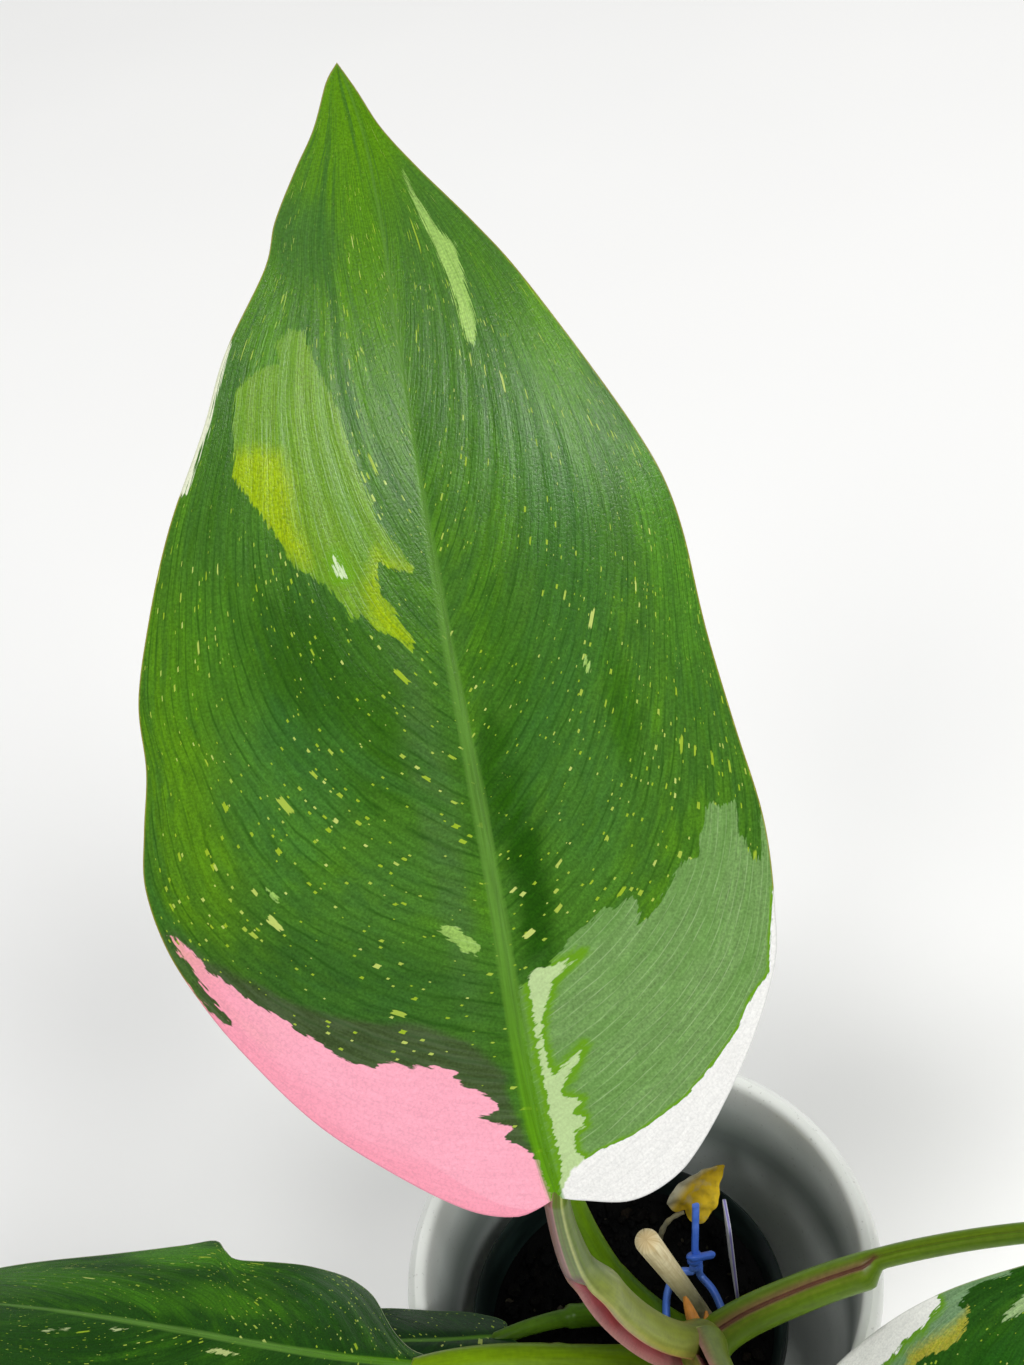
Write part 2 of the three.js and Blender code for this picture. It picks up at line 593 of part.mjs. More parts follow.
plant.add(makeMesh('cachepot', cachepotSolid(), '#ccd1c6', 0.25));
plant.add(makeMesh('nursery_pot', nurserySolid(), '#15181a', 0.5));
plant.add(makeMesh('potting_mix', mixSolid(plugs), '#1c1713', 0.95));
plant.add(makeMesh('stem', stemSolid(0), '#6f7a3c', 0.55));
for (const [name, entry] of Object.entries(LEAVES)) {
  plant.add(makeMesh(name, leafSolid(completeLeaf(entry), stemCutter), entry.colour, 0.4));
}
plant.add(makeMesh('stake', stakeSolid(0), '#cbb98c', 0.7));
plant.add(makeMesh('twist_tie', tieSolid(), '#1440b4', 0.45));
plant.add(makeMesh('plant_label', labelSolid(0), '#e4e4ee', 0.4));
plant.add(makeMesh('withered_leaf', witheredSolid(), '#b49a28', 0.8));

export default plant;
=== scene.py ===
import math
from functools import partial

import bmesh
import bpy
import numpy as np
from bpy.props import FloatProperty, FloatVectorProperty, IntProperty, PointerProperty
from mathutils import Matrix, Vector, noise


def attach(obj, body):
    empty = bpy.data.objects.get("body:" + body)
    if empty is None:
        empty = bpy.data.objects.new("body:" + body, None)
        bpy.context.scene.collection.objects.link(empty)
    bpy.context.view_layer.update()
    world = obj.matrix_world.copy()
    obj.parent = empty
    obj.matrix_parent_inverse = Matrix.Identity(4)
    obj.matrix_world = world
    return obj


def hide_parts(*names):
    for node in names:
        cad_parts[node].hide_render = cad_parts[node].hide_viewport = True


bl_info = {
    "name": "Potted Tricolor White Princess Philodendron",
    "version": (1, 0, 0),
    "blender": (4, 5, 0),
    "location": "View3D > Sidebar > Philodendron",
    "description": "Builds the leaves, pots, mix and stake of a potted variegated philodendron",
    "category": "Add Mesh",
}

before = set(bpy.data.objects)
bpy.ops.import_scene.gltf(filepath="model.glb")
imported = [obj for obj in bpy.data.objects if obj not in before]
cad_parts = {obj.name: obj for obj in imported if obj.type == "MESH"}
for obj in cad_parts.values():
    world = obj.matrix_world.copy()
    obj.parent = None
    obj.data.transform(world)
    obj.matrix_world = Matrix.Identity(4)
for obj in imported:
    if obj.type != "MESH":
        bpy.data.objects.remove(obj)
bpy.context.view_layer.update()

# Shapes are given in millimetres and made in metres.
MM = 0.001
# Metres below which two points count as one.
TINY = 1e-6

# The photograph's height and focal length in pixels, the camera's sensor in millimetres, and where it
# stood and which way it was turned. The place and the axes were fitted to the outer pot's rim in a
# program of its own.
PHOTO_HEIGHT = 1365
FOCAL_PIXELS = 1500
SENSOR = 36.0
CAMERA_PLACE = (-1.05, -197.13, 507.84)
CAMERA_RIGHT = (0.978, -0.139, -0.155)
CAMERA_UP = (0.208, 0.655, 0.727)

# The floor and the lights, in metres. A lamp is (name, place, size, share of the key light's power,
# shows in gloss). The key stands to the right, so shadows fall to the left. The softboxes light
# surfaces but don't show in glossy skins, where the small lamp overhead makes one soft sheen.
FLOOR_HALF = 6
FLOOR_CENTRE = (0, 2, -0.0004)
SKY = (0.95, 0.98, 1.0, 1)
LAMPS_AIM = (0, 0, 0.3)
LAMPS = [
    ("key softbox", (2.64, -3.1, 4.4), 2.3, 1, False),
    ("second softbox", (-2.4, -3.6, 4.2), 1.8, 0.3, False),
    ("high softbox", (-0.4, 1.8, 5.5), 3.2, 0.53, False),
    ("sheen lamp", (0.95, -1.27, 4.05), 0.9, 0.35, True),
]

# Turned profiles as (radius, height).
CACHEPOT_OUTSIDE = [
    (0, 0.6), (44.5, 0.6), (45.2, 0), (47.6, 0), (49.2, 0.5), (50, 2.6), (52.6, 18), (56, 41),
    (60, 68.4), (63.2, 94), (64.9, 108), (65, 110.6), (64.2, 112.9), (62.4, 114),
]
CACHEPOT_INSIDE = [
    (60.9, 113.5), (59.7, 111.4), (58.4, 101), (54.7, 68.4), (49.8, 38), (45.9, 14), (44, 9), (40.5, 6.4),
    (34, 6), (0, 6),
]
NURSERY = {
    "centre": -6, "rim": 45, "neck": 42.6, "base": 32, "height": 80, "wall": 1, "lip": 6.5,
    "floor": 1.2, "holes": 6, "hole": 3.5, "ring": 23, "cutter": 6,
}
CACHEPOT_FOOT_POINTS = 4
PROFILE_POINTS = 70
CACHEPOT_STEPS = 160
NURSERY_STEPS = 120
# Going down the inside, the glaze turns from the rim's to the inner one between these heights in mm.
GLAZE_TURNS = (113.4, 98)
POT_FLOOR = 6
MIX_LEVEL = 76
MIX_SEED = 11
MIX_RINGS = 40
# Gaps in millimetres: under the mix, at its edge, and between its edge and the outermost chips.
MIX_LIFT = 1.5
MIX_GAP = 0.3
CHIP_MARGIN = 2.5
CHIP_SIZES = [1.0, 1.6, 2.6, 4.2]
CHIP_SHARES = [0.35, 0.35, 0.22, 0.08]
CHIP_BATCH = 60
# A chip's middle stands this share of its size above the mix, and its lumps are this share of it.
CHIP_RAISED = 0.25
CHIP_LUMPS = 0.22

# The leaning stem and what it carries.
STEM_PATH = [(12.5, -7, 50), (12, -11, 76), (11.5, -27, 108), (10.5, -39.5, 141)]
STEM_NODES = [0.35, 0.43, 0.51, 0.76, 0.85]
STEM_RADII = (5.6, 5.0)
STEM_RINGS = 90
STEM_SIDES = 40
# A node swells the stem, and a scar above it narrows it. The depths are shares of the radius, and the
# rest are shares of the stem's length.
NODE_SWELL = 0.14
NODE_REACH = 0.025
SCAR_DEPTH = 0.035
SCAR_ABOVE = 0.012
SCAR_REACH = 0.006
SCAR_TINT_REACH = 0.009
ROOT_TIPS = [((10.8, -31.5, 127), (9.2, -21.6, 131.4), 2.3), ((12.4, -30, 121), (14, -23.2, 124.4), 1.6)]
ROOT_RINGS = 14
ROOT_SIDES = 16
ROOT_BLUNTNESS = 0.03
# The way that the first point of a stem's or a stalk's section faces.
STALK_FACING = np.array([0.1, 1, 0.2])
STAKE = {"foot": (18, 4, 52), "top": (2.1, -33.8, 188.6), "foot_radius": 2.1, "top_radius": 2.9}
STAKE_SIDES = 36
STAKE_RINGS = 40
DOME_RINGS = 12
TIE = {
    "radius": 0.85, "centre": (11.2, -19.2), "half_x": 7.6, "half_y": 13.4, "front_z": 104.5,
    "slope": 0.3, "open": 1.15, "twist_height": 8, "turns": 1.5, "tail": (17.5, 0.5, 134),
    "knob": (19.4, -5.5, 117.5), "ribbon": 1.3, "half_thick": 0.7, "wire": 0.6, "gap": 0.15,
    "rise": (0.3, 0.6, 1.2), "margin": 0.14,
}
TIE_RINGS = 260
TIE_SIDES = 16
TWIST_POINTS = 8
LOOP_POINTS = 14
LABEL = {
    "foot": (25.2, 0.2, 48), "top": (26.9, 11.5, 106), "thickness": 1, "width": 12, "corner": 3,
    "turned": -0.08, "point": 8, "narrowed": 0.08, "rounding": 0.22, "shoulder": 0.9,
}
# The painted skins' girth and length in metres, which their fibres are laid out in.
STEM_SKIN = (0.034, 0.1)
PETIOLE_SKIN = (0.022, 0.14)
STAKE_GIRTH = 0.018

# A grown outline as (share of the midrib, share of the half width), from the notch to the tip.
USUAL_OUTLINE = [
    (0, 0), (-0.035, 0.13), (-0.052, 0.32), (-0.035, 0.54), (0.01, 0.74), (0.08, 0.9), (0.18, 0.99),
    (0.3, 0.99), (0.45, 0.91), (0.6, 0.76), (0.74, 0.54), (0.86, 0.31), (0.94, 0.14), (1, 0),
]

# Colours of the variegation.
PINK = "#f4a6b8"
DEEP_PINK = "#e78095"
TAN = "#dba28e"
WHITE = "#e9e8e4"
CREAM = "#dcdfc4"
SAGE = "#6a9222"
MID_GREEN = "#709454"
STREAK_GREEN = "#9abd60"
STRIP_GREEN = "#b4cc90"
LIME = "#96b006"
DUSK = "#3f4c2c"
RIB_FOOT = "#568c08"
RIB_GREEN = "#5a8632"
# Half the midrib's width in millimetres, by share of a blade 204 mm long.
MIDRIB_HALF = [
    (0, 1.2), (0.06, 1.6), (0.25, 1.35), (0.35, 1.2), (0.45, 1.0), (0.58, 0.8), (0.68, 0.45),
    (0.8, 0.25), (0.92, 0),
]
MIDRIB_LENGTH = 204
# The painted parts of a petiole, in the order in which each leaf lists their colours.
PETIOLE_PARTS = ("back", "top", "channel", "edge", "inner", "line", "stripe", "blush", "notch", "rim")

# Each leaf, with lengths in millimetres. A patch is (layer, colour, outline), where the outline's
# points are (share of the midrib, millimetres to the right of it). The sector layer lies on the
# green, the lime layer on the sector, and the pale layer on all of them. The dusk layer darkens the
# green, and a gap is cut out of the pale layer. A wash is (share, across, reach along, reach across,
# colour, strength), painted softly on the green. Many of the points were picked on the photograph
# and turned into leaf coordinates, rounded, in a program of their own.
LEAVES = {
    "leaf_main": {
        "piece": "main_leaf", "slot": "leaf_main", "rows": 210, "columns": 58,
        "petiole": [(10.6, -34, 127), (-4, -46, 160), (-14.5, -62, 224)],
        "petiole_facing": [
            (0.28, -0.94, -0.22), (-0.1, -1, -0.35), (-0.85, -0.85, -0.25), (-0.59, -0.81, -0.05),
        ],
        "petiole_radius": 2.25, "opening": 44, "thickening": 0.5, "lean": 2.4,
        "sheath_width": 5.9, "sheath_end": 3.9, "sheath_share": 0.785, "sheath_taper": 0.1,
        "sheath_depth": 1.1, "wing": 0.95,
        "midrib": [
            (-11.9, -67.7, 275), (-16.6, -42.6, 311.8), (-0.3, -30.4, 332.5),
            (-22, 0, 364.3), (0.6, 38.7, 393.2), (-8.7, 77.8, 414.2),
        ],
        "facing": [(0.02, -0.72, 0.69), (0.02, -0.8, 0.6)],
        "fold": 0.1, "roll": 7, "wave": 1, "waves": 3.2, "phase": 0.6,
        "left": [
            (0, 0), (-0.004, 4.8), (-0.002, 8), (0.014, 14.7), (0.054, 24.7), (0.103, 35.2),
            (0.156, 43.3), (0.209, 49.6), (0.272, 54.3), (0.341, 56), (0.394, 54.5), (0.447, 52.4),
            (0.505, 51.7), (0.567, 47.5), (0.631, 41.8), (0.699, 34.2), (0.757, 29), (0.822, 20.7),
            (0.862, 17.9), (0.907, 12.9), (0.941, 8.4), (0.984, 3.5), (1, 0),
        ],
        "right": [
            (0, 0), (-0.009, 4.3), (-0.021, 11.5), (-0.016, 18.5), (0.002, 24.8), (0.043, 31.7),
            (0.102, 38.6), (0.171, 44), (0.225, 45.3), (0.305, 45.6), (0.388, 43.7), (0.475, 42.1),
            (0.556, 41.5), (0.604, 40.1), (0.645, 37.3), (0.691, 33), (0.744, 27.3), (0.798, 20.9),
            (0.838, 15.2), (0.886, 8.2), (0.929, 3.4), (0.971, 1.2), (1, 0),
        ],
        "greens": ("#2f5c0e", "#42701f", "#558912"), "margin": "#9a8f3a",
        "patches": [
            ("pale", PINK, [
                (0.292, -53), (0.261, -49), (0.253, -48.8), (0.231, -44.6), (0.212, -41.5),
                (0.2, -38.1), (0.183, -35.4), (0.171, -32.1), (0.159, -30.2), (0.147, -27.1),
                (0.142, -23.6), (0.145, -21.8), (0.136, -17.9), (0.133, -14.2), (0.124, -10.9),
                (0.121, -11.8), (0.108, -9.2), (0.097, -6.4), (0.085, -5.2), (0.082, -8.9),
                (0.068, -4.1), (0.058, -5.3), (0.047, -2.9), (0.033, -0.9), (0.001, -0.7),
                (-0.06, -4), (-0.09, -15), (-0.06, -32), (0.04, -52), (0.15, -60), (0.25, -62),
                (0.292, -58),
            ]),
            ("gap", None, [
                (0.3, -54.5), (0.272, -52.4), (0.24, -50), (0.195, -45.9), (0.2, -47.6),
                (0.222, -50.6), (0.252, -53.4), (0.285, -56.2),
            ]),
            ("sector", MID_GREEN, [
                (0.196, 3.4), (0.2, 5), (0.216, 8.4), (0.232, 11.5), (0.241, 14.6), (0.254, 17.6),
                (0.248, 19.4), (0.26, 21.9), (0.252, 23), (0.231, 22.3), (0.242, 25.2), (0.258, 28),
                (0.273, 29.5), (0.283, 32.1), (0.282, 33.6), (0.305, 35.1), (0.322, 36.1),
                (0.331, 37.6), (0.321, 38.6), (0.325, 39.6), (0.326, 41.4), (0.299, 41),
                (0.285, 42.1), (0.272, 42.8), (0.269, 44.2), (0.313, 45.2), (0.32, 48), (0.1, 50),
                (-0.05, 35), (-0.07, 10), (0, 0.4), (0.1, 1), (0.19, 1),
            ]),
            ("pale", WHITE, [
                (0.245, 45.4), (0.2, 43.9), (0.163, 42.8), (0.154, 40.9), (0.141, 38.9),
                (0.112, 35.9), (0.088, 31.8), (0.059, 25.8), (0.042, 19.3), (0.034, 14.9),
                (0.029, 9.7), (0.02, 3.7), (0, 0.4), (-0.05, 1), (-0.08, 12), (-0.05, 32),
                (0.02, 46), (0.12, 52), (0.25, 52),
            ]),
            ("pale", STRIP_GREEN, [
                (0.2, 3.2), (0.206, 4.6), (0.207, 8.4), (0.214, 12.6), (0.203, 9.4), (0.19, 7),
                (0.176, 5.7), (0.159, 4.4), (0.138, 3.9), (0.12, 4.1), (0.102, 4.6), (0.112, 7),
                (0.128, 10.6), (0.11, 8.4), (0.09, 5.2), (0.084, 5.4), (0.082, 7), (0.077, 8.2),
                (0.066, 6.6), (0.062, 8.2), (0.054, 7.8), (0.05, 6), (0.036, 5.2), (0.026, 6.4),
                (0.016, 4.6), (0, 0.4), (0.02, 2.4), (0.08, 2.9), (0.15, 2.9),
            ]),
            ("sector", SAGE, [
                (0.768, -18.5), (0.767, -15.3), (0.754, -15.1), (0.725, -13.2), (0.704, -11.7),
                (0.678, -10.8), (0.638, -8.9), (0.612, -7.7), (0.595, -6.1), (0.568, -3.1),
                (0.565, -3.7), (0.569, -6), (0.579, -8.5), (0.57, -9.5), (0.556, -9.2),
                (0.537, -7.7), (0.511, -5.2), (0.502, -5.8), (0.514, -8), (0.523, -10.3),
                (0.539, -12.9), (0.535, -14.6), (0.549, -15.7), (0.569, -18.1), (0.585, -22.3),
                (0.607, -24.2), (0.628, -26.2), (0.649, -28.7), (0.661, -30.3), (0.681, -29.3),
                (0.703, -29.1), (0.727, -27.8), (0.735, -25.7), (0.742, -22.8), (0.743, -20),
                (0.758, -20.4),
            ]),
            ("lime", LIME, [
                (0.678, -32), (0.681, -25.5), (0.674, -21.7), (0.652, -20.7), (0.621, -21.2),
                (0.6, -20), (0.583, -20), (0.6, -24.6), (0.64, -29), (0.661, -32),
            ]),
            ("lime", LIME, [
                (0.59, -8.6), (0.579, -7.5), (0.566, -2.4), (0.562, -6), (0.556, -9.2), (0.537, -7.7),
                (0.511, -4.5), (0.5, -5.5), (0.512, -8.6), (0.53, -11.5), (0.56, -11.5),
            ]),
            ("dusk", None, [
                (0.268, -50.5), (0.25, -46), (0.237, -43.5), (0.222, -39.5), (0.213, -37.4), (0.2, -32),
                (0.193, -29), (0.187, -25), (0.181, -21.8), (0.176, -18), (0.168, -15), (0.158, -12.5),
                (0.146, -9.4), (0.128, -6.2), (0.11, -3.5), (0.07, -2), (0.03, -1.5), (0.02, -8),
                (0.09, -18), (0.12, -34), (0.2, -50),
            ]),
            ("pale", "#c6d9ac", [(0.589, -15.9), (0.588, -15.1), (0.571, -14.2), (0.571, -15.9)]),
            ("sector", STREAK_GREEN, [
                (0.89, 5.3), (0.865, 6.5), (0.833, 9.5), (0.82, 11.8), (0.783, 12.8), (0.751, 13.4),
                (0.741, 12.8), (0.735, 11.8), (0.745, 11.3), (0.764, 10.8), (0.793, 9.8),
                (0.82, 8.5), (0.857, 6.2),
            ]),
            ("sector", STREAK_GREEN, [
                (0.258, -10.3), (0.26, -8.6), (0.253, -6.5), (0.235, -3.7), (0.227, -4.2),
                (0.235, -7),
            ]),
            ("sector", STREAK_GREEN, [(0.472, 21.5), (0.466, 22.3), (0.455, 21.7), (0.459, 21.1)]),
            ("sector", STREAK_GREEN, [(0.325, -36.8), (0.32, -35.6), (0.306, -34), (0.309, -35.6)]),
            ("pale", CREAM, [
                (0.765, -27.6), (0.739, -30), (0.718, -31.9), (0.699, -33.2), (0.654, -38.2),
                (0.654, -42), (0.72, -36), (0.77, -31),
            ]),
        ],
        "washes": [
            (0.97, 0, 22, 18, "#5c9004", 0.95), (0.8, -6, 30, 9, "#55880a", 0.85),
            (0.66, -4, 18, 5, "#4a7c0c", 0.6), (0.84, -13, 8, 6, "#406c26", 0.75),
            (0.78, -22, 26, 4, "#558a14", 0.7), (0.76, 26, 34, 5, "#5c9214", 0.8),
            # The wash at 0.74 and 8 mm right of the midrib is a painted sheen: a lighter, bluer green where
            # the leaf's gloss falls.
            (0.58, 39, 30, 5, "#528a20", 0.8), (0.74, 8, 36, 7, "#4a7628", 0.6),
            (0.66, 20, 16, 14, "#4e7e30", 0.4), (0.45, -47, 34, 8, "#56860e", 0.85),
            (0.3, -46, 22, 8, "#527f12", 0.7), (0.52, -38, 14, 12, "#487c14", 0.6),
            (0.29, 6, 20, 4, "#1d4a02", 0.95), (0.4, 4, 16, 3, "#265404", 0.8),
            (0.5, -24, 16, 9, "#2a5606", 0.8), (0.43, -12, 12, 8, "#33620c", 0.6),
            (0.33, -7, 36, 3.4, "#4a6e30", 0.75), (0.6, -14, 10, 10, "#406c26", 0.6),
            (0.3, -18, 10, 12, "#426e2a", 0.6), (0.2, -24, 12, 20, "#325c20", 0.6),
            (0.36, 18, 22, 8, "#43742a", 0.5), (0.42, 26, 14, 3, "#316208", 0.7),
            (0.5, 8, 16, 5, "#34660e", 0.5), (0.25, -40, 12, 8, "#345c1c", 0.6),
            (0.4, -30, 20, 10, "#3b6e2c", 0.5), (0.55, 22, 20, 8, "#3d6f26", 0.5),
        ],
        "petiole_colours": (
            "#7f8930", "#566a1c", "#a63a32", "#bf8488", "#b4525a", "#a8444e", "#b4b870",
            "#744040", "#4f0e1a", "#9a9236",
        ),
    },
    "leaf_right": {
        "piece": "right_leaf", "rows": 120, "columns": 32,
        "petiole": [(11.2, -31, 120), (28, -18.5, 124), (70, -29, 156.5)],
        "petiole_facing": [(-0.1, -0.2, 0.98), (-0.52, -0.2, 0.83)], "petiole_radius": 2.35,
        "sheath_width": 5.2, "sheath_end": 4.5, "sheath_share": 0.54, "opening": 6, "channel": 0.1,
        "thickening": 0.1, "lean": 1.9,
        "midrib": [(116, -46, 170), (145, -42, 184), (190, -14, 180), (240, 28, 150)],
        "facing": [(-0.1, -0.1, 1), (0.25, -0.1, 1)], "half": 44,
        "fold": 0.12, "roll": 8, "wave": 1.4, "waves": 2.6, "phase": 2,
        "greens": ("#2c5a10", "#3e6c20", "#54860f"), "margin": "#9aa650",
        "patches": [
            ("pale", PINK, [
                (0.62, 28), (0.57, 22), (0.58, 17), (0.5, 15), (0.47, 9), (0.38, 8), (0.33, 3.5),
                (0.25, 2), (0.3, 12), (0.34, 24), (0.4, 34), (0.42, 50), (0.62, 46),
            ]),
            ("sector", MID_GREEN, [
                (0.4, 50), (0.34, 33), (0.3, 22), (0.24, 10), (0.2, 2), (0.08, 1), (0.1, 12),
                (0.14, 26), (0.18, 50),
            ]),
            ("pale", WHITE, [
                (0.2, -2), (0.3, -9), (0.4, -18), (0.46, -26), (0.43, -26), (0.34, -19), (0.24, -11),
                (0.14, -2),
            ]),
            ("pale", CREAM, [(0.7, -8), (0.76, -12), (0.8, -15), (0.75, -14), (0.69, -10)]),
        ],
        "washes": [(0.8, 0, 20, 12, "#56941a", 0.7), (0.4, -30, 20, 8, "#4c8a1c", 0.6)],
        "petiole_colours": (
            "#64840c", "#5c8212", "#7d5444", "#8f6450", "#86584a", "#96685a", "#7d9630",
            "#6b8418", "#6a3a30", "#7d8c2c",
        ),
    },
    "leaf_left": {
        "piece": "left_leaf", "rows": 130, "columns": 34,
        "petiole": [(11.8, -17, 90), (-4, -30, 106), (-32, -24, 134)],
        "petiole_facing": [(0, 0.9, 0.2), (0.1, 0.95, 0.3)], "petiole_radius": 2.6,
        "sheath_width": 5.6, "sheath_share": 0.62, "opening": 8,
        "midrib": [(-58.5, -30.6, 146), (-92, -30, 162), (-146, 0, 164), (-214, 26, 128)],
        "facing": [(0.05, 0.5, 1), (-0.2, 0.42, 1)], "half": 37,
        "fold": 0, "roll": 4, "wave": 1, "waves": 2.4, "phase": 0.4,
        "right": [
            (0, 0), (-0.02, 2), (0.01, 6), (0.04, 12), (0.086, 24.9), (0.14, 30.5), (0.2, 33),
            (0.284, 32.2), (0.36, 29.5), (0.43, 27.3), (0.463, 29.9), (0.497, 33.4),
            (0.548, 29.3), (0.661, 20.8), (0.807, 12.7), (0.91, 5.5), (1, 0),
        ],
        "greens": ("#173e05", "#214b0e", "#38690a"), "margin": "#a3ae84",
        "patches": [
            ("pale", "#aebd84", [(0.605, -4.4), (0.63, -5.4), (0.655, -6.6), (0.64, -6.6), (0.61, -5.4)]),
            ("pale", "#aebd84", [(0.52, -2.6), (0.54, -2.5), (0.555, -3.4), (0.535, -3.5)]),
            ("pale", "#b6c47c", [(0.33, -4), (0.37, -3.4), (0.39, -4.6), (0.35, -5.4)]),
            ("pale", PINK, [
                (0.08, -28), (0.16, -24), (0.22, -25), (0.3, -30), (0.42, -31), (0.44, -44), (0.05, -44),
            ]),
            ("pale", WHITE, [
                (0.1, -2.4), (0.16, -8), (0.2, -16), (0.1, -19), (0.02, -32), (-0.08, -20), (-0.04, -1),
                (0.02, -1),
            ]),
        ],
        "washes": [
            (0.52, 26, 22, 6, "#4c8a12", 0.8), (0.4, 12, 20, 6, "#4a8410", 0.6),
            (0.22, 24, 14, 12, "#205408", 0.7), (0.7, 10, 24, 5, "#437c12", 0.6),
        ],
        "petiole_colours": (
            "#648204", "#6a8a02", "#6a5a28", "#8a7a3c", "#6f6430", "#86703c", "#8a9c30",
            "#6f8414", "#6a5030", "#7d8c2c",
        ),
    },
    "leaf_small": {
        "piece": "small_leaf", "rows": 80, "columns": 20,
        "petiole": [(12, -14, 83), (2, -4, 96), (-22, -10, 114)],
        "petiole_facing": [(-0.1, 0.9, 0.3), (0, 0.95, 0.3)], "petiole_radius": 1.9,
        "sheath_width": 4.8, "sheath_share": 0.7,
        "midrib": [(-41, -15, 118), (-65, -18, 130), (-95, -8, 128), (-122, 4, 110)],
        "facing": [(0.1, 0.5, 1), (-0.2, 0.5, 1)], "half": 14,
        "fold": 0, "roll": 1.5, "wave": 0.5, "waves": 2, "phase": 1,
        "greens": ("#12300a", "#193b14", "#254c0e"), "margin": "#4c6c34",
        "patches": [], "washes": [],
        "petiole_colours": (
            "#466a10", "#4c6f12", "#3f5414", "#5a6f24", "#4c5a1c", "#566a24", "#6f8430",
            "#4c6a14", "#4a4420", "#5f7424",
        ),
    },
    "leaf_front": {
        "piece": "front_leaf", "rows": 130, "columns": 36,
        "petiole": [(10.6, -39, 139), (12, -56, 160), (15, -88, 178)],
        "petiole_facing": [(-0.5, 0.35, 0.8), (-0.4, 0.3, 0.85)], "petiole_radius": 2.2,
        "sheath_width": 5.2, "sheath_share": 0.55,
        "midrib": [(26, -106, 186), (54, -102, 205), (100, -90, 214), (152, -68, 196)],
        "facing": [(-0.1, 0, 1), (0.15, -0.1, 1)], "half": 36,
        "fold": 0.1, "roll": 8, "wave": 1.2, "waves": 2.6, "phase": 1.4,
        "greens": ("#1f4908", "#2b5a14", "#42730e"), "margin": "#9aa878",
        "patches": [
            ("pale", "#f4f4ec", [
                (0.383, -40), (0.383, -33.2), (0.381, -32.4), (0.35, -31.4), (0.328, -30.5),
                (0.291, -30.6), (0.268, -29.7), (0.233, -29.2), (0.2, -24), (0.14, -13), (0.09, -5),
                (0.02, -0.8), (-0.08, -4), (-0.12, -20), (-0.05, -42),
            ]),
            ("sector", "#74956a", [
                (0.52, -40), (0.506, -29.7), (0.49, -30.5), (0.469, -31.4), (0.449, -31.7),
                (0.423, -31.3), (0.403, -30.2), (0.402, -29.4), (0.42, -29.3), (0.412, -28.5),
                (0.377, -26), (0.349, -25.7), (0.322, -26.1), (0.296, -27.1), (0.272, -26.2),
                (0.22, -17), (0.17, -8), (0.12, -2), (0, -0.8), (-0.1, -10), (0, -40),
            ]),
            ("sector", "#9c9a3c", [
                (0.421, -29.4), (0.399, -27.6), (0.375, -26.9), (0.347, -27.2), (0.308, -27.7),
                (0.272, -27), (0.25, -25), (0.271, -24.9), (0.298, -25.6), (0.322, -24.9),
                (0.348, -24.3), (0.375, -24.6), (0.4, -26.4), (0.413, -28),
            ]),
            ("lime", "#b2a838", [
                (0.43, -29), (0.39, -27.4), (0.34, -27.6), (0.29, -27.8), (0.27, -25), (0.33, -24.4),
                (0.39, -25),
            ]),
            ("sector", "#98b47a", [
                (0.439, -22.9), (0.467, -22.6), (0.49, -22.2), (0.53, -20.8), (0.57, -20.6),
                (0.54, -23.6), (0.501, -25.1), (0.483, -24.9), (0.455, -23.6),
            ]),
            ("pale", PINK, [
                (0.3, 40), (0.27, 26), (0.22, 20), (0.2, 12), (0.13, 7), (0.08, 1.6), (-0.02, 1),
                (-0.1, 12), (0, 42),
            ]),
        ],
        "washes": [(0.6, -16, 20, 5, "#3f8010", 0.6), (0.4, -14, 14, 6, "#1f580c", 0.6)],
        "petiole_colours": (
            "#6d8024", "#687f22", "#8a4640", "#c0848c", "#a85c60", "#a8606c", "#b0b878",
            "#7c6a3c", "#6e2c2c", "#96963c",
        ),
    },
    "leaf_behind": {
        "piece": "behind_leaf", "rows": 120, "columns": 32,
        "petiole": [(11.6, -20, 97), (-8, -7, 105), (-15, -8, 148)],
        "petiole_facing": [(-0.2, 0.5, -0.85), (-0.4, 0.8, -0.4), (-0.2, 0.95, -0.1)], "petiole_radius": 2.6,
        "sheath_width": 4.9, "sheath_share": 0.45,
        "midrib": [(-15, -4, 205), (-19, 20, 248), (-22, 64, 280), (-25, 110, 285)],
        "facing": [(0, -0.8, 0.6), (0, -0.5, 0.85)], "half": 38,
        "fold": 0.12, "roll": 7, "wave": 1.2, "waves": 2.6, "phase": 0.9,
        "greens": ("#2a5810", "#3c6c20", "#52840f"), "margin": "#93a04a",
        "patches": [
            ("sector", SAGE, [
                (0.62, 40), (0.58, 26), (0.5, 18), (0.44, 8), (0.36, 2), (0.2, 1), (0.26, 12),
                (0.3, 24), (0.34, 44),
            ]),
            ("pale", WHITE, [
                (0.34, 44), (0.31, 28), (0.25, 16), (0.18, 4), (0.1, 1), (0.12, 14), (0.16, 28),
                (0.18, 44),
            ]),
            ("pale", CREAM, [(0.5, -4), (0.58, -8), (0.66, -14), (0.6, -12), (0.52, -7)]),
        ],
        "washes": [(0.85, 0, 18, 12, "#5a981a", 0.7), (0.3, -26, 20, 8, "#4c8a1c", 0.6)],
        "petiole_colours": (
            "#567a08", "#5c8208", "#4c5a18", "#647028", "#4c5a18", "#5c6c20", "#6a7c28",
            "#567a10", "#4a4420", "#6a7c28",
        ),
    },
}
LEAF_DEFAULTS = {
    "slot": "leaf_green", "sheath_depth": 0.85, "wing": 0.85, "opening": 10, "thickening": 0.25,
    "ridge_scale": 1, "sheath_end": 3.4, "sheath_taper": 0.025, "lean": 0, "channel": 1,
}

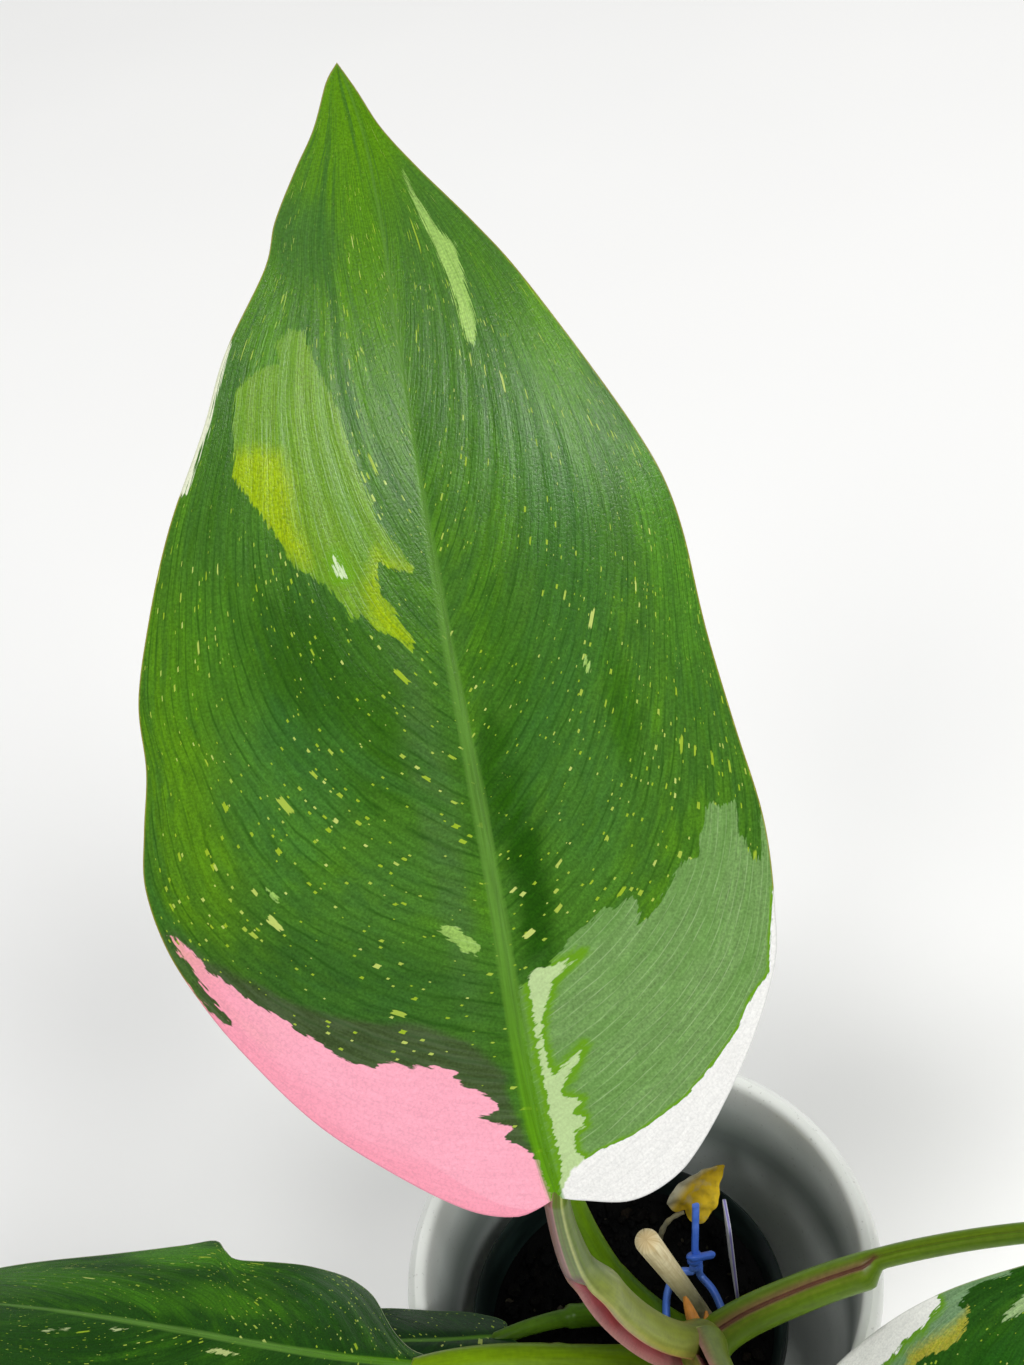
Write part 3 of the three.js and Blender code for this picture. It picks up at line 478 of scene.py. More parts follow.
WITHERED = {
    "stalk": [(6.5, 24, 60), (6.8, 23.5, 80), (10, 24, 86), (16, 24.5, 86)], "stalk_radius": 1,
    "midrib": [(16, 24.5, 86.4), (19.5, 26, 92), (25.5, 29, 95), (31.5, 33, 91.5)], "half": 6.5,
    "facing": [(-0.1, -0.6, 0.8), (0.3, -0.9, 0.4)],
    "fold": 0.35, "roll": -1.6, "wave": 1.1, "waves": 2.2, "phase": 0, "rows": 60, "columns": 16,
    "ridge_scale": 0.3, "thickness": 0.7, "relief": 0.2, "crumple": 1.1, "stalk_taper": 0.35,
    "stalk_lumps": 0.12, "stalk_rings": 50, "stalk_sides": 14,
}

# Blades, in millimetres: the crease along the midrib, the ridge underneath, the tongue of petiole
# that runs on under it, the grooves over the veins, and the lumps of a crumpled blade.
CREASE = 4.0
RIDGE = 2.6
RIDGE_HALF = 2.4
TONGUE = 9.0
VEIN_GROOVE_HALF = 1.6
MIDRIB_GROOVE_HALF = 1.8
CRUMPLE_SIZE = 3.1
# How the rows bunch at the foot, how much deeper the midrib's groove is than a side vein's, how thin
# the margin is, how far the right margin's waves are ahead in radians, and the number of side veins.
BUNCH = 1.6
MIDRIB_GROOVE_TIMES = 3.5
MARGIN_THINNESS = 0.55
RIGHT_PHASE = 1.3
SIDE_VEINS = 22
# Side veins: how far they sweep forward and how early they bend, on the right and on the left, then
# how far towards the margin they run. A place along a vein counts the way across and along the blade
# by the last two shares.
VEIN_SWEEP = (0.15, 0.02)
VEIN_BEND = (0.4, 0.55)
VEIN_RUN = 0.93
VEIN_ALONG = (0.6, 0.8)
# Metres by which the right half's pattern is shifted, so that it doesn't mirror the left one.
RIGHT_SHIFT = 0.6
# Petioles: the rings along them, and the points round a section's back and front.
PETIOLE_RINGS = 96
SECTION_BACK = 44
SECTION_FRONT = 22
# Shares: the depth of the channel's floor, how it widens inside, how far in the wings' faces stand,
# and how flat the solid stalk's front is.
CHANNEL_FLOOR = 0.45
CHANNEL_SPREAD = 0.3
WING_INSET = 0.86
FRONT_FLATNESS = 0.94
# The petiole swells at the stem, and its wings end in small ears. Then the sheath closes. The swells
# are shares of the width, and the rest are shares of the petiole's length.
FOOT_SWELL = 0.18
FOOT_REACH = 0.07
EAR_SWELL = 0.12
EAR_REACH = 0.02
EAR_BEFORE = 0.035
SHEATH_STEP = 0.006
# Painted distances: what counts as far from a patch, and how near the margin they are worked out.
FAR = 30.0
NEAR_MARGIN = 18.0


# Small tools.
def linear(code):
    """An sRGB hex colour in the linear values that shaders use, with a solid alpha."""
    parts = [int(code[i:i + 2], 16) / 255 for i in (1, 3, 5)]
    return tuple(c / 12.92 if c <= 0.04045 else ((c + 0.055) / 1.055) ** 2.4 for c in parts) + (1.0,)


def tinted(colour, code, amount):
    """The colours, each taken by its own amount towards the one that the hex code gives."""
    return mix(colour, np.array(linear(code)), np.asarray(amount)[:, None])


def unit(vectors):
    return vectors / np.linalg.norm(vectors, axis=-1, keepdims=True)


def mix(a, b, share):
    return a + (b - a) * share


def smooth(value, low, high):
    """0 below low and 1 above high, with an eased step between them."""
    x = np.clip((value - low) / (high - low), 0, 1)
    return x * x * (3 - 2 * x)


def bezier(points, t):
    """Points of a Bezier curve of any degree, at the shares t."""
    level = [np.asarray(p, float) for p in points]
    t = np.asarray(t, float)[..., None]
    while len(level) > 1:
        level = [a + (b - a) * t for a, b in zip(level, level[1:])]
    return level[0] + 0 * t


def bezier_tangent(points, t):
    return unit(bezier(np.diff(np.asarray(points, float), axis=0), t))


def spline(points, count):
    """Count points, evenly spaced, of a smooth line through the given points."""
    p = np.asarray(points, float)
    ends = np.vstack([p[:1], p, p[-1:]])
    t = np.linspace(0, 1, 24, endpoint=False)[:, None]
    parts = [
        0.5 * (2 * b + (c - a) * t + (2 * a - 5 * b + 4 * c - d) * t**2 + (3 * b - a - 3 * c + d) * t**3)
        for a, b, c, d in zip(ends, ends[1:], ends[2:], ends[3:])
    ]
    line = np.vstack(parts + [p[-1:]])
    length = np.concatenate([[0], np.cumsum(np.linalg.norm(np.diff(line, axis=0), axis=1))])
    even = np.linspace(0, length[-1], count)
    return np.column_stack([np.interp(even, length, line[:, k]) for k in range(p.shape[1])])


def noise_at(points, seed=0.0):
    """Smooth noise between about -0.6 and 0.6 at each point."""
    flat = np.asarray(points, float).reshape(-1, 3)
    made = [noise.noise(Vector((x + seed, y - seed, z + 0.37 * seed))) for x, y, z in flat]
    return np.array(made).reshape(np.shape(points)[:-1])


def inside_mm(points, outline):
    """Distance from each point to the outline's edge, negative inside it."""
    p = points[:, None, :]
    a = np.asarray(outline, float)[None]
    b = np.roll(a, -1, axis=1)
    side = b - a
    along = np.clip(((p - a) * side).sum(-1) / np.maximum((side * side).sum(-1), 1e-9), 0, 1)
    distance = np.linalg.norm(p - a - side * along[..., None], axis=-1).min(1)
    rise = np.where(side[..., 1] == 0, 1e-9, side[..., 1])
    crossing = a[..., 0] + side[..., 0] * (p[..., 1] - a[..., 1]) / rise
    hits = ((a[..., 1] > p[..., 1]) != (b[..., 1] > p[..., 1])) & (p[..., 0] < crossing)
    return np.where(hits.sum(1) % 2 == 1, -distance, distance)


def square_ring(flat, centre, tangent, facing):
    """A section's flat points, set square to the tangent with their y axis towards facing."""
    up = unit(facing - np.dot(facing, tangent) * tangent)
    side = np.cross(tangent, up)
    return centre + np.outer(flat[:, 0], side) + np.outer(flat[:, 1], up)


def circle(radius, sides):
    angle = np.linspace(0, 2 * math.pi, sides, endpoint=False)
    return np.column_stack([radius * np.cos(angle), radius * np.sin(angle)])


# Meshes. Every vertex remembers the part of its piece that it belongs to and its place there.
MARKS = ("part", "ring", "place")


def new_bmesh():
    bm = bmesh.new()
    for name in MARKS:
        bm.verts.layers.int.new(name)
    return bm


def mark(bm, vert, **values):
    for name, value in values.items():
        vert[bm.verts.layers.int[name]] = value


def sweep(bm, rings, part=0, slot=0):
    """Draws a circle out through the rings of points, given in millimetres, and closes both ends."""
    place = bm.verts.layers.int["place"]
    first = bmesh.ops.create_circle(bm, cap_ends=False, segments=len(rings[0]), radius=1)["verts"]
    for i, vert in enumerate(first):
        mark(bm, vert, part=part, ring=0, place=i)
        vert.co = Vector(rings[0][i]) * MM
    edges = list(dict.fromkeys(edge for vert in first for edge in vert.link_edges))
    faces = bmesh.ops.contextual_create(bm, geom=edges)["faces"]
    for number, ring in enumerate(rings[1:], 1):
        grown = bmesh.ops.extrude_edge_only(bm, edges=edges)["geom"]
        verts = {g for g in grown if isinstance(g, bmesh.types.BMVert)}
        edges = [g for g in grown if isinstance(g, bmesh.types.BMEdge) and set(g.verts) <= verts]
        faces += [g for g in grown if isinstance(g, bmesh.types.BMFace)]
        for vert in verts:
            vert.co = Vector(ring[vert[place]]) * MM
            mark(bm, vert, ring=number)
    faces += bmesh.ops.contextual_create(bm, geom=edges)["faces"]
    for face in faces:
        face.material_index = slot


def turn(bm, profile, steps):
    """Spins a profile of (radius, height) points round the upright axis."""
    verts = [bm.verts.new((r * MM, 0, z * MM)) for r, z in profile]
    for i, vert in enumerate(verts):
        mark(bm, vert, ring=i)
    edges = [bm.edges.new(pair) for pair in zip(verts, verts[1:])]
    bmesh.ops.spin(
        bm, geom=verts + edges, cent=(0, 0, 0), axis=(0, 0, 1), angle=2 * math.pi, steps=steps,
        use_merge=True, use_duplicate=False,
    )
    bmesh.ops.remove_doubles(bm, verts=bm.verts, dist=TINY)


def finish_piece(name, bm, materials, replaces, sharp=35):
    """Turns a bmesh into a piece that rides on the body, smooth but for edges sharper than sharp."""
    bmesh.ops.recalc_face_normals(bm, faces=bm.faces)
    for face in bm.faces:
        face.smooth = True
    for edge in bm.edges:
        edge.smooth = len(edge.link_faces) != 2 or edge.calc_face_angle() < math.radians(sharp)
    mesh = bpy.data.meshes.new(name)
    bm.to_mesh(mesh)
    bm.free()
    piece = bpy.data.objects.new(name, mesh)
    bpy.context.scene.collection.objects.link(piece)
    for material in materials:
        mesh.materials.append(material)
    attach(piece, "root")
    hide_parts(replaces)
    return piece


def marks_of(mesh):
    """The vertices' marks as arrays. They come off the mesh, which is then ready to paint."""
    found = {}
    for name in MARKS:
        values = np.zeros(len(mesh.vertices), np.int32)
        mesh.attributes[name].data.foreach_get("value", values)
        mesh.attributes.remove(mesh.attributes[name])
        found[name] = values
    return found


def paint(mesh, name, kind, values):
    """Stores one value for each vertex, which the materials read by name."""
    field = {"FLOAT": "value", "FLOAT_VECTOR": "vector", "FLOAT_COLOR": "color"}[kind]
    attribute = mesh.attributes.new(name, kind, "POINT")
    attribute.data.foreach_set(field, np.asarray(values, np.float32).ravel())


# Materials. Each kind of node: its type, usual settings, the inputs that values go to, and its output.
KINDS = {
    "mix": ("Mix", {"data_type": "RGBA"}, (0, 6, 7), 2),
    "range": ("MapRange", {}, (0, 1, 2, 3, 4), 0),
    "noise": ("TexNoise", {}, ("Vector", "Scale", "Detail"), 0),
    "cells": ("TexVoronoi", {}, ("Vector", "Scale"), "Distance"),
    "stretch": ("VectorMath", {"operation": "MULTIPLY"}, (0, 1), 0),
    "shade": ("VectorMath", {"operation": "SCALE"}, (0, "Scale"), 0),
    "dot": ("VectorMath", {"operation": "DOT_PRODUCT"}, (0, 1), "Value"),
    "add": ("Math", {"operation": "ADD"}, (0, 1), 0),
    "less": ("Math", {"operation": "SUBTRACT"}, (0, 1), 0),
    "times": ("Math", {"operation": "MULTIPLY"}, (0, 1), 0),
    "power": ("Math", {"operation": "POWER"}, (0, 1), 0),
    "above": ("Math", {"operation": "GREATER_THAN"}, (0, 1), 0),
    "bounce": ("Math", {"operation": "PINGPONG"}, (0, 1), 0),
    "size": ("Math", {"operation": "ABSOLUTE"}, (0,), 0),
    "place": ("TexCoord", {}, (), "Object"),
    "painted": ("Attribute", {}, (), "Fac"),
    "axes": ("SeparateXYZ", {}, (0,), 0),
    "draw": ("SeparateColor", {}, (0,), 0),
    "steps": ("ValToRGB", {}, (0,), 0),
    "bump": ("Bump", {}, ("Height", "Distance"), 0),
}


def plug(tree, socket, value):
    """Links a socket to another, or sets its value."""
    if isinstance(value, bpy.types.NodeSocket):
        tree.links.new(value, socket)
    else:
        socket.default_value = value


def add_node(tree, kind, *values, output=None, **settings):
    """Adds a node, gives it settings and values, and returns its output."""
    type_name, usual, sockets, usual_output = KINDS[kind]
    made = tree.nodes.new("ShaderNode" + type_name)
    for name, value in {**usual, **settings}.items():
        setattr(made, name, value)
    for socket, value in zip(sockets, values):
        plug(tree, made.inputs[socket], value)
    return made.outputs[usual_output if output is None else output]


def new_material(name):
    """A material, the function that adds its nodes, and the one that sets its shader."""
    material = bpy.data.materials.new(name)
    material.use_nodes = True
    tree = material.node_tree
    shader = tree.nodes["Principled BSDF"]

    def finish(**values):
        for key, value in values.items():
            plug(tree, shader.inputs[key.replace("_", " ")], value)

    return material, partial(add_node, tree), finish


def leaf_skin(under=False):
    """A living leaf: a waxy cuticle over cells. It gives a soft gloss, broken up by fine streaks
    along the side veins, and the underside is duller and paler. The greens and the reach of each
    patch are painted on the leaf, and the ragged edges, the fine veins and the small dashes are
    drawn here. A millimetre across the veins stands for 0.5 to 1 mm of leaf."""
    material, add, finish = new_material("leaf underside, dull" if under else "leaf upper skin, waxy")

    def painted(name, output="Fac"):
        return add("painted", attribute_name=name, output=output)

    vein = painted("vein", "Vector")
    place = add("place")
    # Noise drawn out along the veins, in mm: streaks 1 wide and 10 long, hairs of 0.4 by 4, broad
    # bands of 9 by 25, a mosaic of 2.5 by 6, teeth of 0.8 by 3, and the midrib's fibres of 0.4 by 11.
    streak, hair, broad, mosaic, teeth, fibre = (
        add("noise", add("stretch", vein, per_metre), 1.0, detail)
        for per_metre, detail in (
            ((900, 100, 0), 3.0), ((2300, 250, 0), 2.0), ((110, 40, 0), 3.0),
            ((400, 170, 0), 5.0), ((1300, 350, 0), 4.0), ((0, 90, 2300), 3.0),
        )
    )
    # Cells of 0.4 mm.
    grain = add("noise", place, 2300.0, 2.0)
    shade = add("range", streak, 0.35, 0.65, 0.87, 1.09)
    shade = add("times", shade, add("range", hair, 0.3, 0.7, 0.92, 1.08))
    shade = add("times", shade, add("range", grain, 0.3, 0.7, 0.78, 1.22))

    # Two paintings of the green, between which the mosaic chooses.
    second = add("range", mosaic, 0.43, 0.58, 0, 1)
    green = add("mix", second, painted("tint", "Color"), painted("second_tint", "Color"))
    green = add("shade", green, shade)
    # Fine side veins: a dark line every 2 mm or so that comes and goes, partly the veins' own darker green
    # and partly painted shade of their fine grooves.
    across = add("add", add("axes", vein), add("range", broad, 0.3, 0.7, -0.0012, 0.0012))
    groove = add("range", add("bounce", across, 0.0014), 0.0001, 0.0005, 1, 0)
    groove = add("times", groove, add("range", streak, 0.4, 0.6, 0.0, 0.6))
    colour = add("mix", groove, green, linear("#1b4206"))
    dusky = add("times", painted("dusk"), add("range", streak, 0.42, 0.62, 0, 0.35))
    colour = add("mix", dusky, colour, linear("#56664a"))

    # Dashes of pale tissue with blunt ends: one in some of the cells of a grid that follows the
    # veins. Each line is the cell's width and length in mm, the smallest and largest half size, and
    # the share left out.
    for width, length, smallest, largest, left_out in (
        (1.7, 2.2, 0.07, 0.15, 0.84), (2.4, 3.0, 0.06, 0.16, 0.78), (3.4, 7.0, 0.05, 0.13, 0.76),
        (5.5, 14.0, 0.05, 0.12, 0.87),
    ):
        grid = add("stretch", vein, (1000 / width, 1000 / length, 0))
        pick = add("cells", grid, 1.0, voronoi_dimensions="2D", distance="CHEBYCHEV", output="Color")
        reach = add("cells", grid, 1.0, voronoi_dimensions="2D", distance="CHEBYCHEV")
        half = add("range", add("power", add("draw", pick), 2.5), 0, 1, smallest, largest)
        half = add("times", half, add("above", add("draw", pick, output=1), left_out))
        half = add("times", half, painted("dashes"))
        half = add("times", half, add("range", hair, 0.3, 0.7, 0.7, 1.3))
        pale = add("power", add("draw", pick, output=2), 3.0)
        dash = add("mix", pale, linear("#98b428"), linear("#c4d070"))
        colour = add("mix", add("range", add("less", half, reach), 0.0, 0.02, 0, 0.88), colour, dash)

    # Patches, whose edges run out along the veins in teeth up to 0.65 mm long.
    teeth = add("range", teeth, 0.25, 0.75, -0.65, 0.65)
    sector_reach = add("add", painted("sector"), teeth)
    in_sector = add("range", sector_reach, 0.1, -0.1, 0, 1)
    sector = add("shade", painted("sector_tint", "Color"), shade)
    sector = add("mix", add("range", broad, 0.42, 0.68, 0, 0.35), sector, linear("#4c8420"))
    # Pale fine veins of uneven strength, 1 to 2 mm apart.
    across = add("add", add("axes", vein), add("range", broad, 0.3, 0.7, -0.0006, 0.0006))
    line = add("range", add("bounce", across, 0.0011), 0.00003, 0.00016, 0.4, 0)
    line = add("times", line, add("range", mosaic, 0.4, 0.6, 0.15, 1))
    sector = add("mix", line, sector, linear("#b4cc98"))
    # The fine veins' dark lines, partly painted shade, show at half strength on the sector.
    sector = add("mix", add("times", groove, 0.5), sector, linear("#3f6f24"))
    colour = add("mix", in_sector, colour, sector)
    # Netted tissue with cells of 0.9 by 1.7 mm, where yellow shows between green threads.
    net = add("stretch", vein, (1100, 600, 0))
    net = add("cells", net, 1.0, voronoi_dimensions="2D", feature="DISTANCE_TO_EDGE")
    thread = add("range", net, 0.02, 0.16, 0.5, 0)
    lime = add("mix", thread, painted("lime_tint", "Color"), linear("#6c9018"))
    lime = add("shade", lime, shade)
    in_lime = add("range", add("add", painted("lime"), teeth), 1.4, -1.6, 0, 0.95)
    colour = add("mix", add("times", in_lime, in_sector), colour, lime)

    # The palest tissue is nearly even, with a fine grain, faint streaks and wrinkles 1.2 mm apart.
    pale_reach = add("add", painted("pale"), teeth)
    soft = add("range", streak, 0.35, 0.65, 0.965, 1.02)
    soft = add("times", soft, add("range", hair, 0.3, 0.7, 0.96, 1.03))
    soft = add("times", soft, add("range", grain, 0.3, 0.7, 0.92, 1.06))
    wrinkle = add("cells", place, 850.0, feature="DISTANCE_TO_EDGE")
    soft = add("times", soft, add("range", wrinkle, 0.0, 0.09, 0.94, 1.0))
    pale = add("shade", painted("pale_tint", "Color"), soft)
    edge = add("times", add("range", pale_reach, 1.8, 0.6, 0, 0.9), in_sector)
    colour = add("mix", edge, colour, linear("#62960e"))
    colour = add("mix", add("range", pale_reach, 0.1, -0.1, 0, 1), colour, pale)

    # The midrib with its fibres, then the line along the margin.
    rib = add("shade", painted("midrib_tint", "Color"), add("range", fibre, 0.3, 0.7, 0.78, 1.22))
    rib_reach = add("add", painted("midrib"), add("range", fibre, 0.3, 0.7, -0.25, 0.25))
    colour = add("mix", add("range", rib_reach, 0.35, -0.35, 0, 0.85), colour, rib)
    on_margin = add("range", painted("margin"), 0.3, 0.08, 0, 0.75)
    colour = add("mix", on_margin, colour, painted("margin_tint", "Color"))
    if under:
        colour = add("mix", 0.38, colour, linear("#8fa578"))

    height = add("add", add("times", streak, 1.5), add("add", hair, add("times", grain, 1.5)))
    low, high, gloss = (0.5, 0.6, 0.16) if under else (0.2, 0.26, 0.19)
    finish(
        Base_Color=colour, Roughness=add("range", hair, 0.3, 0.7, low, high), IOR=1.45,
        Specular_IOR_Level=gloss, Normal=add("bump", height, 0.028 * MM),
    )
    return material


def stalk_skin(name="petiole skin, smooth and juicy", rough=0.36):
    """The smooth skin of a petiole or stem. Fine streaks run along it, and it has a moist gloss."""
    material, add, finish = new_material(name)
    fibre = add("painted", attribute_name="fibre", output="Vector")
    tint = add("painted", attribute_name="tint", output="Color")
    # Streaks 0.5 mm wide and 12 mm long, and flecks of 1.5 mm.
    streak = add("noise", add("stretch", fibre, (2000, 80, 1)), 1.0, 3.0)
    flecks = add("noise", add("place"), 700.0, 3.0)
    shade = add("range", streak, 0.3, 0.7, 0.84, 1.14)
    shade = add("times", shade, add("range", flecks, 0.3, 0.7, 0.9, 1.1))
    finish(
        Base_Color=add("shade", tint, shade), Roughness=rough, IOR=1.42, Specular_IOR_Level=0.3,
        Normal=add("bump", streak, 0.05 * MM),
    )
    return material


def glaze():
    """Glazed stoneware: a glossy celadon, so pale that it is nearly white outside and on the rim. It is
    greyer inside, with a band of painted shade round the inner wall, and the foot is bare and matt."""
    pots = bpy.context.scene.potted_plant.pots
    material, add, finish = new_material("celadon glaze over stoneware")
    place = add("place")
    inside = add("painted", attribute_name="inside")
    depth = add("axes", place, output=2)
    # Clouds of 35 mm in the glaze, and iron specks of 1 mm.
    clouds = add("noise", add("stretch", place, (28, 28, 18)), 1.0, 4.0)
    specks = add("noise", place, 900.0, 2.0)
    outer = add("mix", add("range", clouds, 0.35, 0.7, 0, 0.5), (*pots.glaze, 1), linear("#f5f6f2"))
    inner = add("mix", add("range", clouds, 0.3, 0.7, 0, 0.6), (*pots.glaze_inside, 1), linear("#96a09b"))
    # A band of painted shade darkens the inside 86 mm up, level with the nursery pot's rim.
    band = add("range", add("size", add("less", depth, 0.086)), 0.002, 0.016, 0.8, 0)
    inner = add("mix", band, inner, linear("#66706b"))
    colour = add("mix", inside, outer, inner)
    colour = add("mix", add("range", specks, 0.66, 0.72, 0, 0.25), colour, linear("#6f6a5c"))
    foot = add("range", depth, 0.0012, 0.002, 1, 0)
    finish(
        Base_Color=add("mix", foot, colour, linear("#c9bfae")), Roughness=add("range", foot, 0, 1, 0.3, 0.85),
        IOR=1.52, Coat_Weight=0.4, Coat_Roughness=0.12, Normal=add("bump", clouds, 0.15 * MM),
    )
    return material


def plastic(name, colour, lighter, rough, grain_mm):
    """Moulded plastic: an even colour with a fine moulded grain and slight scuffs."""
    material, add, finish = new_material(name)
    place = add("place")
    grain = add("noise", place, 1000 / grain_mm, 2.0)
    scuffs = add("noise", add("stretch", place, (60, 60, 220)), 1.0, 4.0)
    finish(
        Base_Color=add("mix", add("range", scuffs, 0.45, 0.75, 0, 1), linear(colour), linear(lighter)),
        Roughness=add("range", scuffs, 0.3, 0.7, rough - 0.06, rough + 0.1), IOR=1.49,
        Normal=add("bump", grain, 0.03 * MM),
    )
    return material


def bark_mix():
    """Potting mix: damp dark peat, matt, with dark bark chips and a few paler grains. All are painted near
    black, partly their own dark colour and partly painted shade deep in the pot.
    """
    material, add, finish = new_material("damp peat and bark")
    pick = add("painted", attribute_name="pick")
    fibre = add("noise", add("stretch", add("place"), (900, 260, 900)), 1.0, 4.0)
    colour = add("steps", pick)
    ramp = colour.node.color_ramp
    ramp.interpolation = "CONSTANT"
    # Painted shade: the peat and the chips are painted darker than they are, near black.
    ramp.elements[0].color = linear("#040404")
    for position, code in ((0.5, "#060504"), (0.8, "#0a0806"), (0.95, "#130e09"), (0.985, "#2c2820")):
        ramp.elements.new(position).color = linear(code)
    finish(
        Base_Color=add("shade", colour, add("range", fibre, 0.3, 0.7, 0.6, 1.3)), Roughness=0.8, IOR=1.4,
        Specular_IOR_Level=0.12, Normal=add("bump", fibre, 0.5 * MM),
    )
    return material


def stake_wood():
    """A turned softwood stick: pale, dry and matt, with fine grain along it. It is greyer towards its
    foot and browner at its worn top."""
    material, add, finish = new_material("turned softwood, dry")
    fibre = add("painted", attribute_name="fibre", output="Vector")
    grain = add("noise", add("stretch", fibre, (2200, 45, 1)), 1.0, 4.0)
    stains = add("noise", add("place"), 160.0, 3.0)
    along = add("axes", fibre, output=1)
    colour = add("mix", add("range", grain, 0.35, 0.7, 0, 1), linear("#e8dcb4"), linear("#c2ae80"))
    colour = add("mix", add("range", stains, 0.45, 0.62, 0, 0.4), colour, linear("#b8a478"))
    colour = add("mix", add("range", along, 0.132, 0.09, 0, 0.75), colour, linear("#9c9670"))
    colour = add("mix", add("range", along, 0.1405, 0.1428, 0, 0.6), colour, linear("#c0a06a"))
    finish(
        Base_Color=colour, Roughness=0.75, IOR=1.5, Specular_IOR_Level=0.3,
        Normal=add("bump", grain, 0.12 * MM),
    )
    return material


def withered_skin():
    """A dried leaf: papery mustard with grey and brown blotches, quite matt."""
    material, add, finish = new_material("withered leaf, papery")
    place = add("place")
    tint = add("painted", attribute_name="tint", output="Color")
    crackle = add("noise", place, 420.0, 4.0)
    spots = add("noise", place, 170.0, 3.0)
    colour = add("mix", add("range", crackle, 0.45, 0.75, 0, 0.5), tint, linear("#6f5f30"))
    colour = add("mix", add("range", spots, 0.56, 0.66, 0, 0.55), colour, linear("#8f8a78"))
    finish(
        Base_Color=colour, Roughness=0.85, IOR=1.4, Specular_IOR_Level=0.25,
        Normal=add("bump", crackle, 0.3 * MM),
    )
    return material


def label_plastic(out, foot):
    """White sheet styrene. The middle of its cut edge is painted violet, which is painted shade and
    reflection on that edge.
    """
    material, add, finish = new_material("white styrene sheet, violet painted edge shade")
    place = add("place")
    # Painted shade and reflection: the middle of the cut edge, within about 0.3 mm of the sheet's centre
    # plane, turns violet.
    depth = add("size", add("less", add("dot", place, out), foot.dot(out)))
    painted_edge_shade = add("range", depth, 0.38 * MM, 0.22 * MM, 0, 1)
    scratch = add("noise", add("stretch", place, (300, 300, 60)), 1.0, 3.0)
    finish(
        Base_Color=add("mix", painted_edge_shade, linear("#e6e6f0"), linear("#8f86c8")), IOR=1.5,
        Roughness=add("range", scratch, 0.3, 0.7, 0.32, 0.5), Normal=add("bump", scratch, 0.03 * MM),
    )
    return material


# Leaves.
class Blade:
    """The grown form of a blade: t is a share of the midrib, v is millimetres to the right of it."""

    def __init__(self, entry):
        self.midrib = entry["midrib"]
        self.facing = np.array(entry["facing"], float)
        for name in ("fold", "roll", "wave", "waves", "phase", "rows", "columns", "ridge_scale"):
            setattr(self, name, entry[name])
        usual = [(t, share * entry.get("half", 0)) for t, share in USUAL_OUTLINE]
        self.outlines = {-1: entry.get("left", usual), 1: entry.get("right", usual)}
        self.half = max(v for _, v in self.outlines[-1])
        line = bezier(self.midrib, np.linspace(0, 1, 61))
        self.length = np.linalg.norm(np.diff(line, axis=0), axis=1).sum()

    def axes(self, t):
        inside = np.clip(t, 0, 1)
        tangent = bezier_tangent(self.midrib, inside)
        facing = mix(self.facing[0], self.facing[1], np.asarray(inside)[..., None])
        normal = unit(facing - (facing * tangent).sum(-1, keepdims=True) * tangent)
        return tangent, normal, np.cross(tangent, normal)

    def point(self, t, v, sink=0.0):
        """The point at (t, v) of the upper side, or sink millimetres below it."""
        t, v = np.asarray(t, float), np.asarray(v, float)
        tangent, normal, side = self.axes(t)
        q = v / self.half
        ripple = np.sin(2 * math.pi * self.waves * t + self.phase + np.where(v > 0, RIGHT_PHASE, 0))
        lift = self.fold * (np.hypot(v, CREASE) - CREASE) - self.roll * q * q
        lift = lift + self.wave * ripple * np.abs(q) ** 3 - sink
        base = bezier(self.midrib, np.maximum(t, 0)) + tangent * (np.minimum(t, 0) * self.length)[..., None]
        return base + side * v[..., None] + normal * lift[..., None]

    def grid(self):
        """The tables of t, v and share of the way to the margin, by row and column."""
        columns = np.linspace(-1, 1, 2 * self.columns + 1)
        share = np.abs(columns)
        rows = np.linspace(0, 1, self.rows + 1)
        t, v = [], []
        for sign, half in ((-1, share[: self.columns]), (1, share[self.columns:])):
            outline = [(a * self.length, b) for a, b in self.outlines[sign]]
            edge = spline(outline, self.rows + 1)
            t.append(mix((rows**BUNCH)[:, None], edge[:, :1] / self.length, half))
            v.append(sign * edge[:, 1:] * half)
        return np.hstack(t), np.hstack(v), np.broadcast_to(share, (self.rows + 1, len(share)))

    def vein(self, t, v, share):
        """Where the side vein through a point leaves the midrib, and how far out the point is, in mm.
        The veins sweep towards the tip and run in along the margin, more steeply on the right."""
        before = np.where(v > 0, *VEIN_SWEEP)
        start = (np.maximum(t, -0.01) + before) * (1 - VEIN_RUN * share) ** np.where(v > 0, *VEIN_BEND)
        out, on = VEIN_ALONG
        return start * self.length, out * np.abs(v) + on * t * self.length


